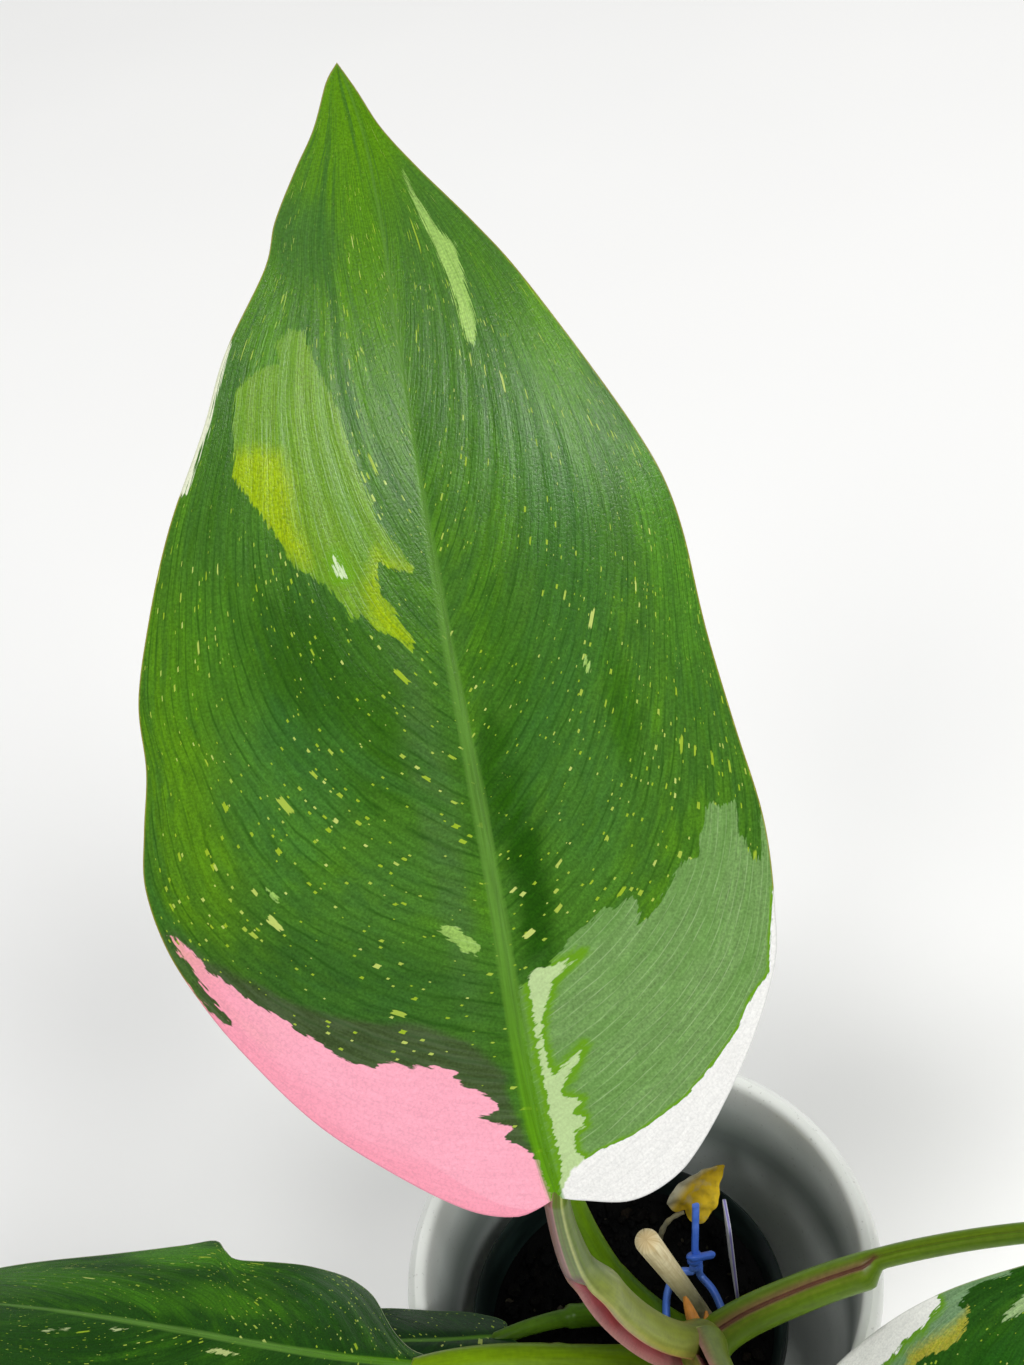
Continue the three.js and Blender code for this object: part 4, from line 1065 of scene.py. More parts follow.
def grow_blade(bm, blade, thickness, relief, crumple=0.0, slots=(0, 1)):
    """Shapes a grid into the upper side, then extrudes it downwards into the underside."""
    t, v, share = blade.grid()
    start, _ = blade.vein(t, v, share)
    spacing = blade.length / SIDE_VEINS
    groove = np.exp(-((((start / spacing) % 1) - 0.5) * spacing / VEIN_GROOVE_HALF) ** 2)
    sink = relief * groove * smooth(np.abs(v), 2, 8) * (1 - smooth(share, 0.8, 1))
    rib_groove = MIDRIB_GROOVE_TIMES * relief * np.exp(-((v / MIDRIB_GROOVE_HALF) ** 2))
    upper = blade.point(t, v, sink + rib_groove * (1 - np.clip(t, 0, 1)))
    if crumple:
        upper = upper + crumple * noise_at(upper / CRUMPLE_SIZE)[..., None] * blade.axes(t)[1]
    thin = thickness * mix(1.0, MARGIN_THINNESS, share**3)
    fade = np.sqrt(1 - np.clip(t, 0, 1))
    ridge = RIDGE * blade.ridge_scale * fade * np.exp(-((v / RIDGE_HALF) ** 2))
    down = blade.axes(t)[1] * (thin + ridge + 2 * relief * groove * (1 - share))[..., None]
    lower = upper - down

    across = t.shape[1] - 1
    made = bmesh.ops.create_grid(bm, x_segments=across, y_segments=blade.rows, size=1)["verts"]
    for vert in made:
        row = round((vert.co.y + 1) / 2 * blade.rows)
        column = round((vert.co.x + 1) / 2 * across)
        mark(bm, vert, ring=row, place=column)
        vert.co = Vector(upper[row, column]) * MM
    grown = list(dict.fromkeys(face for vert in made for face in vert.link_faces))
    bmesh.ops.remove_doubles(bm, verts=made, dist=TINY)
    grown = [f for f in grown if f.is_valid]
    extruded = bmesh.ops.extrude_face_region(bm, geom=grown, use_keep_orig=True)["geom"]
    ring, place = bm.verts.layers.int["ring"], bm.verts.layers.int["place"]
    for item in extruded:
        if isinstance(item, bmesh.types.BMVert):
            item.co = Vector(lower[item[ring], item[place]]) * MM
        elif isinstance(item, bmesh.types.BMFace):
            item.material_index = slots[1]
    for face in grown:
        face.material_index = slots[0]
    return t, v, share


def sheath_at(entry, t):
    """1 where the petiole is a winged channel and 0 where it is a solid stalk."""
    share = entry["sheath_share"]
    return 1 - smooth(t, share - entry["sheath_taper"], share + SHEATH_STEP)


def petiole_section(width, back, front, opening, sheath, channel=1):
    """The petiole's outline: round its back from wing to wing, then its front, a channel where
    sheathed. The opening's half angle is measured from straight ahead. A channel less than 1 deep is
    shallower."""
    angle = np.linspace(math.pi / 2 + opening, 2.5 * math.pi - opening, SECTION_BACK)
    sine = np.sin(angle)
    outer = [width * np.cos(angle), np.where(sine > 0, front, back) * sine]
    lip = 0.5 * math.pi + opening * np.linspace(-1, 1, SECTION_FRONT + 2)[1:-1]
    turned = np.clip((lip - math.pi / 2) / opening, -1, 1)
    lip_height = front * math.cos(opening)
    deep = lip_height - channel * (lip_height + CHANNEL_FLOOR * back) * (1 - turned**4)
    spread = CHANNEL_SPREAD * channel * width * (1 - turned**2) * (1 - math.sin(opening))
    inner = [-turned * (width * np.sin(opening) + spread) * WING_INSET, deep]
    solid = [width * np.cos(lip), FRONT_FLATNESS * front * np.sin(lip)]
    face = [mix(s, i, sheath) for s, i in zip(solid, inner)]
    return np.column_stack([np.concatenate([o, f]) for o, f in zip(outer, face)])


def grow_petiole(bm, entry, blade, part, slot):
    """Sweeps the petiole from the stem's axis to the blade's foot and on under the midrib."""
    radius, share = entry["petiole_radius"], entry["sheath_share"]
    opening = math.radians(entry["opening"])
    foot_normal = blade.axes(0.0)[1]
    path = [*entry["petiole"], tuple(np.array(entry["midrib"][0]) - 0.7 * radius * foot_normal)]
    rings = []
    for t in np.linspace(0, 1, PETIOLE_RINGS + 1):
        sheath = sheath_at(entry, t)
        stalk = radius * (1 + entry["thickening"] * (1 - smooth(t, share - 0.1, 1)))
        width = mix(stalk, mix(entry["sheath_width"], entry["sheath_end"], min(t / share, 1) ** 1.3), sheath)
        width *= 1 + FOOT_SWELL * math.exp(-((t / FOOT_REACH) ** 2))
        back = mix(stalk, entry["sheath_depth"] * width, sheath)
        front = mix(stalk, entry["wing"] * width, sheath)
        front *= 1 + EAR_SWELL * math.exp(-(((t - share + EAR_BEFORE) / EAR_REACH) ** 2))
        flat = petiole_section(width, back, front, opening, sheath, entry["channel"])
        flat[:, 0] += entry["lean"] * sheath * smooth(t, 0, 0.7 * share)
        facing = bezier(entry["petiole_facing"], t)
        rings.append(square_ring(flat, bezier(path, t), bezier_tangent(path, t), facing))
    for way in (0.25, 0.5, 0.75, 1):
        t = way * TONGUE / blade.length
        slim = radius * (1 - 0.6 * way)
        tangent, normal, _ = blade.axes(t)
        centre = blade.point(t, 0.0) - normal * (slim + 0.25)
        rings.append(square_ring(petiole_section(slim, slim, slim, opening, 0), centre, tangent, normal))
    sweep(bm, rings, part, slot)


def paint_petiole(entry, marks, tint, fibre):
    """Colours the petiole: its back, the channel with its wings' edges, and the stripes of the
    solid stalk above it."""
    colours = dict(zip(PETIOLE_PARTS, map(linear, entry["petiole_colours"])))
    mine = marks["part"] == 1
    t = np.minimum(marks["ring"][mine] / PETIOLE_RINGS, 1)
    place = marks["place"][mine]
    sheath = sheath_at(entry, t)
    front = place >= SECTION_BACK
    back_share = place / (SECTION_BACK - 1)
    front_share = (place - SECTION_BACK + 1) / (SECTION_FRONT + 1)
    wobble = noise_at(np.column_stack([place / 9, t * 9, 0 * t]), 4)

    def lay(colour, name, amount):
        return mix(colour, np.array(colours[name]), np.clip(amount, 0, 1)[:, None])

    def band(value, middle, half):
        return np.exp(-(((value - middle) / half) ** 2))

    colour = lay(np.tile(colours["back"], (len(t), 1)), "top", smooth(t + 0.15 * wobble, 0.6, 0.85))
    # The channel from its right wing to its left one: a pink line, the deep middle, the paler inner
    # face of the left wing, and that wing's whitish edge.
    channel = lay(colour, "channel", 0.95 * smooth(t + 0.4 * wobble, -0.25, 0.05))
    channel = lay(channel, "line", 0.9 * band(front_share, 0.02, 0.14))
    channel = lay(channel, "edge", 0.45 * band(front_share + 0.02 * wobble, 0.3, 0.04))
    channel = lay(channel, "inner", 0.9 * smooth(front_share + 0.15 * wobble, 0.5, 0.75))
    channel = lay(channel, "edge", 0.6 * smooth(front_share + 0.1 * wobble, 0.88, 1.0))
    # The solid stalk's front: green with a fine dark line, then a blush that reaches its left side.
    solid = lay(colour, "notch", 0.35 * band(front_share, 0.2, 0.03))
    solid = lay(solid, "blush", 0.9 * smooth(front_share, 0.36, 0.46))
    solid = lay(solid, "edge", 0.5 * band(front_share, 0.44, 0.04))
    colour = np.where(front[:, None], mix(solid, channel, smooth(sheath, 0.3, 0.7)[:, None]), colour)
    # Round the back: the left wing's edge, the rim beside the right wing, and the pale stripe above.
    left, right = ~front * band(back_share, 0, 0.05), ~front * band(back_share, 1, 0.014)
    colour = lay(colour, "edge", 0.8 * left * sheath)
    colour = lay(colour, "line", 0.7 * right * sheath)
    colour = lay(colour, "rim", 0.8 * ~front * band(back_share + 0.012 * wobble, 0.955, 0.018) * sheath)
    colour = lay(colour, "stripe", 0.1 * ~front * smooth(back_share + 0.03 * wobble, 0.86, 0.9) * sheath)
    colour = lay(colour, "stripe", 0.9 * ~front * band(back_share, 0.968, 0.016) * (1 - sheath))
    colour = lay(colour, "blush", 0.85 * ~front * band(back_share, 0.0, 0.08) * (1 - sheath))
    # A dark ring where the channel ends at the notch, partly the tissue's own colour and partly painted shade
    # in that hollow.
    notch = band(t, entry["sheath_share"] - 0.004, 0.013) * np.maximum(front, left + right)
    colour = lay(colour, "notch", 0.95 * notch)
    tint[mine] = colour
    girth, length = PETIOLE_SKIN
    fibre[mine] = np.column_stack([place / (SECTION_BACK + SECTION_FRONT) * girth, t * length, 0 * t])


def green_of(entry, blade, t, v, start, along, seed):
    """The painted green: mottles drawn out along the side veins, then the washes over them."""
    dark, usual, bright = (np.array(linear(code)) for code in entry["greens"])
    side = np.where(v > 0, 40.0, 0.0) + seed
    broad = noise_at(np.column_stack([start / 17, along / 50, side]), 1)
    narrow = noise_at(np.column_stack([start / 4.0, along / 14, side]), 2)
    colour = mix(usual, dark, 0.8 * smooth(broad + 0.6 * narrow, 0.02, 0.42)[:, None])
    colour = mix(colour, bright, (0.5 * smooth(-broad + 0.6 * narrow, 0.06, 0.45))[:, None])
    for share, across, reach_t, reach_v, code, strength in entry["washes"]:
        distance = ((t - share) * blade.length / reach_t) ** 2 + ((v - across) / reach_v) ** 2
        amount = strength * smooth(np.exp(-distance) + 0.4 * narrow + 0.35 * broad, 0.1, 0.8)
        colour = tinted(colour, code, np.clip(amount, 0, 1))
    return colour


def paint_blade(entry, blade, piece, marks, tables):
    """Works out the leaf's painted values for every vertex of the blade and stores them."""
    mesh = piece.data
    count = len(mesh.vertices)
    mine = marks["part"] == 0
    t, v, share = (table[marks["ring"][mine], marks["place"][mine]] for table in tables)
    start, along = blade.vein(t, v, share)
    flat = np.column_stack([t * blade.length, v])
    edge = blade_edge(blade, flat, share)
    uneven = noise_at(np.column_stack([start / 5, along / 22, 0 * t]), 6)

    layers = {name: np.full(len(t), FAR) for name in ("sector", "pale", "lime", "gap", "pink", "dusk")}
    tints = {name: np.tile(linear(SAGE), (len(t), 1)) for name in ("sector", "pale", "lime")}
    for layer, code, outline in entry["patches"]:
        distance = inside_mm(flat, [(a * blade.length, b) for a, b in outline])
        if code == WHITE:
            distance = distance * 2.5
        if layer in tints:
            nearer = distance < layers[layer]
            tints[layer][nearer] = linear(code)
        if code == PINK:
            layers["pink"] = np.minimum(layers["pink"], distance)
        layers[layer] = np.minimum(layers[layer], distance)
    layers["pale"] = np.maximum(layers["pale"], -layers["gap"])

    # The second green is bluer and duller: the shader breaks the first one up with it.
    greens = [green_of(entry, blade, t, v, start, along, seed) for seed in (0.0, 7.3)]
    greens[1] = mix(greens[0], greens[1], 0.5) * np.array((0.88, 0.9, 1.1, 1))
    dusk = np.maximum(smooth(layers["dusk"] + 3 * uneven, 0.9, -0.9), 0.5 * smooth(layers["pink"], 1.6, 0.2))
    greens = [tinted(green, DUSK, 0.85 * dusk) for green in greens]
    # The pink is deeper near the margin, and tan farther up.
    is_pink = layers["pink"] < 0
    tints["pale"] = tinted(tints["pale"], DEEP_PINK, 0.4 * ((1 - smooth(edge + 4 * uneven, 0, 9)) * is_pink))
    tints["pale"] = tinted(tints["pale"], TAN, 0.6 * (smooth(t + 0.1 * uneven, 0.2, 0.29) * is_pink))

    # The dashes come in clusters 22 mm wide, and there are fewer towards the tip.
    clusters = noise_at(np.column_stack([start / 22, along / 22, 0 * t]), 9)
    rib_half = blade.length / MIDRIB_LENGTH * np.interp(t, *zip(*MIDRIB_HALF))
    on_pale = smooth(layers["pale"], 0.6, -0.6)[:, None]
    values = {
        "sector": layers["sector"], "pale": layers["pale"], "lime": layers["lime"],
        "midrib": np.abs(v) - rib_half, "margin": edge, "dusk": dusk,
        "dashes": np.clip(1.15 - 0.55 * t + 1.1 * clusters, 0.25, 1.3),
    }
    colours = {
        "sector_tint": tints["sector"], "pale_tint": tints["pale"], "lime_tint": tints["lime"],
        "midrib_tint": tinted(np.array(linear(RIB_FOOT)), RIB_GREEN, smooth(t, 0.02, 0.3)),
        "margin_tint": mix(np.array(linear(entry["margin"])), 0.7 * tints["pale"], on_pale),
        "second_tint": greens[1],
    }
    for name, part in values.items():
        whole = np.full(count, FAR)
        whole[mine] = part
        paint(mesh, name, "FLOAT", whole)
    for name, part in colours.items():
        whole = np.tile(linear(SAGE), (count, 1))
        whole[mine] = part
        paint(mesh, name, "FLOAT_COLOR", whole)
    vein = np.zeros((count, 3))
    vein[mine] = np.column_stack([start, along, v]) * MM
    vein[mine, 0] += np.where(v > 0, RIGHT_SHIFT, 0.0)
    paint(mesh, "vein", "FLOAT_VECTOR", vein)
    tint = np.tile(linear(SAGE), (count, 1))
    tint[mine] = greens[0]
    return tint


def blade_edge(blade, flat, share):
    """The distance in millimetres from each point to the blade's margin, where that is near."""
    left = [(t * blade.length, -v) for t, v in blade.outlines[-1]]
    right = [(t * blade.length, v) for t, v in blade.outlines[1]]
    ring = np.vstack([spline(left, 100), spline(right, 100)[::-1]])
    distance = np.full(len(flat), FAR)
    near = ((1 - share) * blade.half < NEAR_MARGIN) | (np.abs(flat[:, 0] - blade.length) < NEAR_MARGIN)
    distance[near] = np.abs(inside_mm(flat[near], ring))
    return distance


def make_leaf(node, skins):
    entry = {**LEAF_DEFAULTS, **LEAVES[node]}
    settings = bpy.context.scene.potted_plant.leaves
    blade = Blade(entry)
    bm = new_bmesh()
    grow_petiole(bm, entry, blade, part=1, slot=2)
    tables = grow_blade(bm, blade, settings.thickness / MM, settings.relief / MM)
    piece = finish_piece(entry["piece"], bm, skins, node, sharp=70)
    marks = marks_of(piece.data)
    tint = paint_blade(entry, blade, piece, marks, tables)
    fibre = np.zeros((len(tint), 3))
    paint_petiole(entry, marks, tint, fibre)
    paint(piece.data, "tint", "FLOAT_COLOR", tint)
    paint(piece.data, "fibre", "FLOAT_VECTOR", fibre)


# Settings.
class PotSettings(bpy.types.PropertyGroup):
    """Sizes and colours of the two pots and the mix."""

    glaze: FloatVectorProperty(
        name="Glaze", description="Colour of the glaze outside and on the rim", subtype="COLOR",
        size=3, min=0, max=1, default=linear("#eff0eb")[:3],
    )
    glaze_inside: FloatVectorProperty(
        name="Glaze inside", description="Colour of the pooled glaze inside", subtype="COLOR",
        size=3, min=0, max=1, default=linear("#e6eae6")[:3],
    )
    chips: IntProperty(name="Chips", description="Bark chips and grains on the mix", default=900, min=0)


class LeafSettings(bpy.types.PropertyGroup):
    """Sizes of the leaves' finer form."""

    thickness: FloatProperty(
        name="Blade thickness", description="Thickness of a blade near its midrib", unit="LENGTH",
        default=0.7 * MM, min=0.1 * MM,
    )
    relief: FloatProperty(
        name="Vein relief", description="Depth of the grooves over the side veins", unit="LENGTH",
        default=0.08 * MM, min=0,
    )


class StageSettings(bpy.types.PropertyGroup):
    """The pale floor and the lights."""

    floor: FloatVectorProperty(
        name="Floor", description="Colour of the floor", subtype="COLOR", size=3, min=0, max=1,
        default=linear("#fcfbf9")[:3],
    )
    daylight: FloatProperty(name="Daylight", description="Strength of the even light", default=0.25, min=0)
    key: FloatProperty(
        name="Key light", description="Power of the main soft light in watts", default=212, min=0,
    )


class PlantSettings(bpy.types.PropertyGroup):
    """All settings of the potted plant."""

    pots: PointerProperty(type=PotSettings)
    leaves: PointerProperty(type=LeafSettings)
    stage: PointerProperty(type=StageSettings)


# Operators.
class PHILODENDRON_OT_cachepot(bpy.types.Operator):
    """Turn the glazed outer pot"""

    bl_idname = "philodendron.cachepot"
    bl_label = "Cachepot"

    def execute(self, context):
        foot, outer = CACHEPOT_OUTSIDE[:CACHEPOT_FOOT_POINTS], CACHEPOT_OUTSIDE[CACHEPOT_FOOT_POINTS:]
        inside = spline(CACHEPOT_INSIDE[:-1], PROFILE_POINTS)
        bm = new_bmesh()
        turn(bm, [*foot, *spline(outer, PROFILE_POINTS), *inside, CACHEPOT_INSIDE[-1]], CACHEPOT_STEPS)
        piece = finish_piece("glazed_cachepot", bm, [glaze()], "cachepot")
        is_inner = marks_of(piece.data)["ring"] >= len(foot) + PROFILE_POINTS
        heights = np.array([v.co.z for v in piece.data.vertices])
        high, low = GLAZE_TURNS
        paint(piece.data, "inside", "FLOAT", is_inner * smooth(heights, high * MM, low * MM))
        return {"FINISHED"}


class PHILODENDRON_OT_nursery_pot(bpy.types.Operator):
    """Turn the thin dark nursery pot and cut its drain holes"""

    bl_idname = "philodendron.nursery_pot"
    bl_label = "Nursery pot"

    def execute(self, context):
        n = NURSERY
        foot, rim = POT_FLOOR, POT_FLOOR + n["height"]
        neck = rim - n["lip"]
        profile = [
            (0, foot), (n["base"] - 1, foot), (n["base"], foot + 1), (n["neck"], neck), (n["rim"], neck),
            (n["rim"], rim - 0.5), (n["rim"] - 0.6, rim), (n["rim"] - 1.2, rim - 0.6),
            (n["neck"] - n["wall"], neck + n["wall"]), (n["base"] - 1, foot + n["floor"]),
            (0, foot + n["floor"]),
        ]
        bm = new_bmesh()
        turn(bm, profile, NURSERY_STEPS)
        bmesh.ops.translate(bm, verts=bm.verts, vec=(n["centre"] * MM, 0, 0))
        material = plastic("moulded polypropylene, near black", "#0d1715", "#1b2a27", 0.42, 0.4)
        piece = finish_piece("black_nursery_pot", bm, [material], "nursery_pot", sharp=25)
        marks_of(piece.data)
        cutter = bmesh.new()
        for i in range(n["holes"]):
            angle = 2 * math.pi * i / n["holes"]
            place = Matrix.Translation((
                (n["centre"] + n["ring"] * math.cos(angle)) * MM, n["ring"] * math.sin(angle) * MM, foot * MM,
            ))
            bmesh.ops.create_cone(
                cutter, cap_ends=True, segments=32, radius1=n["hole"] * MM, radius2=n["hole"] * MM,
                depth=n["cutter"] * MM, matrix=place,
            )
        cut_away(piece, cutter)
        return {"FINISHED"}


def cut_away(piece, cutter):
    """Cuts the closed shapes of a bmesh out of a piece."""
    mesh = bpy.data.meshes.new("cutter")
    cutter.to_mesh(mesh)
    cutter.free()
    tool = bpy.data.objects.new("cutter", mesh)
    bpy.context.scene.collection.objects.link(tool)
    boolean = piece.modifiers.new("holes", "BOOLEAN")
    boolean.object = tool
    boolean.operation = "DIFFERENCE"
    boolean.solver = "EXACT"
    depsgraph = bpy.context.evaluated_depsgraph_get()
    made = bpy.data.meshes.new_from_object(piece.evaluated_get(depsgraph))
    piece.modifiers.remove(boolean)
    piece.data = made
    bpy.data.objects.remove(tool)


def mix_lump(x, y):
    """How far the mix stands above its level at a place, in mm: crossing waves 15 to 23 mm long."""
    return 1.4 * math.sin(x * 0.31 + 1) * math.cos(y * 0.27) + 0.85 * math.sin(x * 0.13 - y * 0.41)


def drop_chip(bm, draw, number, reach):
    """Drops one chip or grain of the mix somewhere within reach of the middle."""
    angle, away = draw.uniform(0, 2 * math.pi), math.sqrt(draw.uniform(0, 1)) * reach
    x, y = away * math.cos(angle), away * math.sin(angle)
    size = draw.choice(CHIP_SIZES, p=CHIP_SHARES)
    place = Matrix.Translation(Vector((x, y, MIX_LEVEL + mix_lump(x, y) + CHIP_RAISED * size)) * MM)
    turned = Matrix.Rotation(draw.uniform(0, 6.3), 4, "Z") @ Matrix.Rotation(draw.normal(0, 0.5), 4, "X")
    shape = Matrix.Diagonal((size, size * draw.uniform(0.5, 1), size * draw.uniform(0.3, 0.6), 1))
    chip = bmesh.ops.create_icosphere(
        bm, subdivisions=2 if size > 2 else 1, radius=0.5 * MM, matrix=place @ turned @ shape,
    )["verts"]
    for vert in chip:
        mark(bm, vert, part=number)
        vert.co += noise.noise_vector(vert.co / MM * 0.9) * CHIP_LUMPS * size * MM


class PHILODENDRON_OT_mix(bpy.types.Operator):
    """Fill the nursery pot with damp potting mix and scatter bark chips over it"""

    bl_idname = "philodendron.mix"
    bl_label = "Potting mix"

    def execute(self, context):
        n = NURSERY
        draw = np.random.default_rng(MIX_SEED)
        # The chips' lumps would differ from run to run without this seed.
        noise.seed_set(MIX_SEED)
        foot = POT_FLOOR + MIX_LIFT
        slope = (n["neck"] - n["base"]) / (n["height"] - n["lip"])
        edge = n["base"] + slope * (MIX_LEVEL - POT_FLOOR) - n["wall"] - MIX_GAP
        rings = [(edge * (1 - i / MIX_RINGS), MIX_LEVEL) for i in range(1, MIX_RINGS + 1)]
        profile = [(0, foot), (n["base"] - n["wall"] - 0.5, foot), (edge, MIX_LEVEL), *rings]
        bm = new_bmesh()
        turn(bm, profile, NURSERY_STEPS)
        for vert in bm.verts:
            if vert.co.z > (MIX_LEVEL - 1) * MM:
                x, y = vert.co.x / MM, vert.co.y / MM
                inside = smooth(np.hypot(x, y), edge, edge - 3)
                rough = 1.6 * noise.noise(Vector((x, y, 0)) / 2.4) - 0.6
                vert.co.z += inside * (mix_lump(x, y) + rough) * MM
        chips = context.scene.potted_plant.pots.chips
        for first in range(0, chips, CHIP_BATCH):
            some = new_bmesh()
            for number in range(first, min(first + CHIP_BATCH, chips)):
                drop_chip(some, draw, number + 1, edge - CHIP_MARGIN)
            batch = bpy.data.meshes.new("chips")
            some.to_mesh(batch)
            some.free()
            bm.from_mesh(batch)
            bpy.data.meshes.remove(batch)
        bmesh.ops.translate(bm, verts=bm.verts, vec=(n["centre"] * MM, 0, 0))
        piece = finish_piece("bark_mix", bm, [bark_mix()], "potting_mix", sharp=50)
        part = marks_of(piece.data)["part"]
        picks = np.concatenate([[0.2], draw.uniform(0, 1, part.max())])
        paint(piece.data, "pick", "FLOAT", picks[part])
        return {"FINISHED"}


class PHILODENDRON_OT_stem(bpy.types.Operator):
    """Sweep the stem with its nodes and its two root tips"""

    bl_idname = "philodendron.stem"
    bl_label = "Stem"

    def execute(self, context):
        bm = new_bmesh()
        rings = []
        for t in np.linspace(0, 1, STEM_RINGS):
            swell = sum(math.exp(-(((t - node) / NODE_REACH) ** 2)) for node in STEM_NODES)
            scar = sum(math.exp(-(((t - node - SCAR_ABOVE) / SCAR_REACH) ** 2)) for node in STEM_NODES)
            flat = circle(mix(*STEM_RADII, t) * (1 + NODE_SWELL * swell - SCAR_DEPTH * scar), STEM_SIDES)
            rings.append(square_ring(flat, bezier(STEM_PATH, t), bezier_tangent(STEM_PATH, t), STALK_FACING))
        sweep(bm, rings)
        for number, (start, end, radius) in enumerate(ROOT_TIPS, 1):
            tip = []
            for t in np.linspace(0, 1, ROOT_RINGS):
                flat = circle(radius * math.sqrt(1 + ROOT_BLUNTNESS - t), ROOT_SIDES)
                way = unit(np.subtract(end, start))
                tip.append(square_ring(flat, bezier([start, end], t), way, STALK_FACING))
            sweep(bm, tip, part=number)
        skin = stalk_skin("stem skin, green going corky", 0.5)
        piece = finish_piece("plant_stem", bm, [skin], "stem")
        marks = marks_of(piece.data)
        t = marks["ring"] / (STEM_RINGS - 1)
        place = marks["place"] / STEM_SIDES
        round_it = 2 * math.pi * place
        blotch = noise_at(np.column_stack([np.cos(round_it), np.sin(round_it), t * 8]), 3)
        colour = tinted(np.array(linear("#5f5a34")), "#8f9a50", smooth(t + 0.2 * blotch, 0.4, 0.8))
        for node in STEM_NODES:
            ring = np.exp(-(((t - node - SCAR_ABOVE) / SCAR_TINT_REACH) ** 2))
            colour = tinted(colour, "#b9a878", 0.8 * ring)
        tips = marks["part"] > 0
        along = marks["ring"][tips] / (ROOT_RINGS - 1)
        colour[tips] = tinted(np.array(linear("#8f7a44")), "#d08a3c", smooth(along, 0.1, 0.5))
        girth, length = STEM_SKIN
        paint(piece.data, "tint", "FLOAT_COLOR", colour)
        paint(piece.data, "fibre", "FLOAT_VECTOR", np.column_stack([place * girth, t * length, 0 * t]))
        return {"FINISHED"}


class PHILODENDRON_OT_leaves(bpy.types.Operator):
    """Grow the six leaves on their petioles"""

    bl_idname = "philodendron.leaves"
    bl_label = "Leaves"

    def execute(self, context):
        skins = [leaf_skin(), leaf_skin(under=True), stalk_skin()]
        for node in LEAVES:
            make_leaf(node, skins)
        return {"FINISHED"}


class PHILODENDRON_OT_stake(bpy.types.Operator):
    """Turn the wooden stake with its rounded top"""

    bl_idname = "philodendron.stake"
    bl_label = "Stake"

    def execute(self, context):
        start, end = np.array(STAKE["foot"], float), np.array(STAKE["top"], float)
        length = np.linalg.norm(end - start)
        dome = STAKE["top_radius"] / length
        rounded = np.sin(np.linspace(0.12, 1.5, DOME_RINGS))
        shares = [*np.linspace(0, 1 - dome, STAKE_RINGS), *(1 - dome + dome * rounded)]
        rings = []
        for t in shares:
            cap = max(0.04, math.sqrt(max(0, 1 - (max(0, t - 1 + dome) / dome) ** 2)))
            flat = circle(mix(STAKE["foot_radius"], STAKE["top_radius"], t) * cap, STAKE_SIDES)
            rings.append(square_ring(flat, mix(start, end, t), unit(end - start), np.array([1.0, 0, 0])))
        bm = new_bmesh()
        sweep(bm, rings)
        piece = finish_piece("wooden_stake", bm, [stake_wood()], "stake")
        marks = marks_of(piece.data)
        along = np.array(shares)[marks["ring"]] * length * MM
        across = marks["place"] / STAKE_SIDES * STAKE_GIRTH
        paint(piece.data, "fibre", "FLOAT_VECTOR", np.column_stack([across, along, 0 * along]))
        return {"FINISHED"}


class PHILODENDRON_OT_tie(bpy.types.Operator):
    """Bend the plastic tie round stem and stake and twist its ends"""

    bl_idname = "philodendron.tie"
    bl_label = "Twist tie"

    def execute(self, context):
        cx, cy = TIE["centre"]

        def loop_point(angle):
            y = cy + TIE["half_y"] * math.sin(angle)
            z = TIE["front_z"] + TIE["slope"] * (y - (cy - TIE["half_y"]))
            return np.array([cx + TIE["half_x"] * math.cos(angle), y, z])

        start = loop_point(TIE["open"])
        apart = TIE["radius"] + TIE["gap"]
        x, y, z = TIE["rise"]

        def twisted(side):
            points = []
            for way in np.arange(1, TWIST_POINTS + 1) / TWIST_POINTS:
                angle = TIE["open"] + (0 if side > 0 else math.pi) + way * TIE["turns"] * 2 * math.pi
                rise = np.array([x, y, z + way * TIE["twist_height"]])
                points.append(start + rise + apart * np.array([math.cos(angle), math.sin(angle), 0]))
            return points

        ways = np.arange(LOOP_POINTS + 1) / LOOP_POINTS
        round_it = 2 * math.pi - 2 * TIE["margin"]
        loop = [loop_point(TIE["open"] + TIE["margin"] + way * round_it) for way in ways]
        end = twisted(-1)
        tail = [mix(end[-1], np.array(TIE["tail"]), 0.5), np.array(TIE["tail"])]
        line = spline([TIE["knob"], *twisted(1)[::-1], *loop, *end, *tail], TIE_RINGS)
        facing = np.array([0.2, 1.0, 0.3])
        # A flat ribbon, thicker by half along its middle, over the wire.
        angle = np.linspace(0, 2 * math.pi, TIE_SIDES, endpoint=False)
        ribbon = TIE["ribbon"] * np.abs(np.cos(angle)) ** 0.8 * np.sign(np.cos(angle))
        wire = 1 + 0.5 * np.exp(-((ribbon / TIE["wire"]) ** 2))
        flat = np.column_stack([ribbon, TIE["half_thick"] * np.sin(angle) * wire])
        rings = []
        for centre, tangent in zip(line, unit(np.gradient(line, axis=0))):
            facing = unit(facing - np.dot(facing, tangent) * tangent)
            rings.append(square_ring(flat, centre, tangent, facing))
        bm = new_bmesh()
        sweep(bm, rings)
        material = plastic("soft vinyl over wire, blue", "#3a68d0", "#6a92ec", 0.4, 0.3)
        piece = finish_piece("blue_tie", bm, [material], "twist_tie", sharp=60)
        marks_of(piece.data)
        return {"FINISHED"}


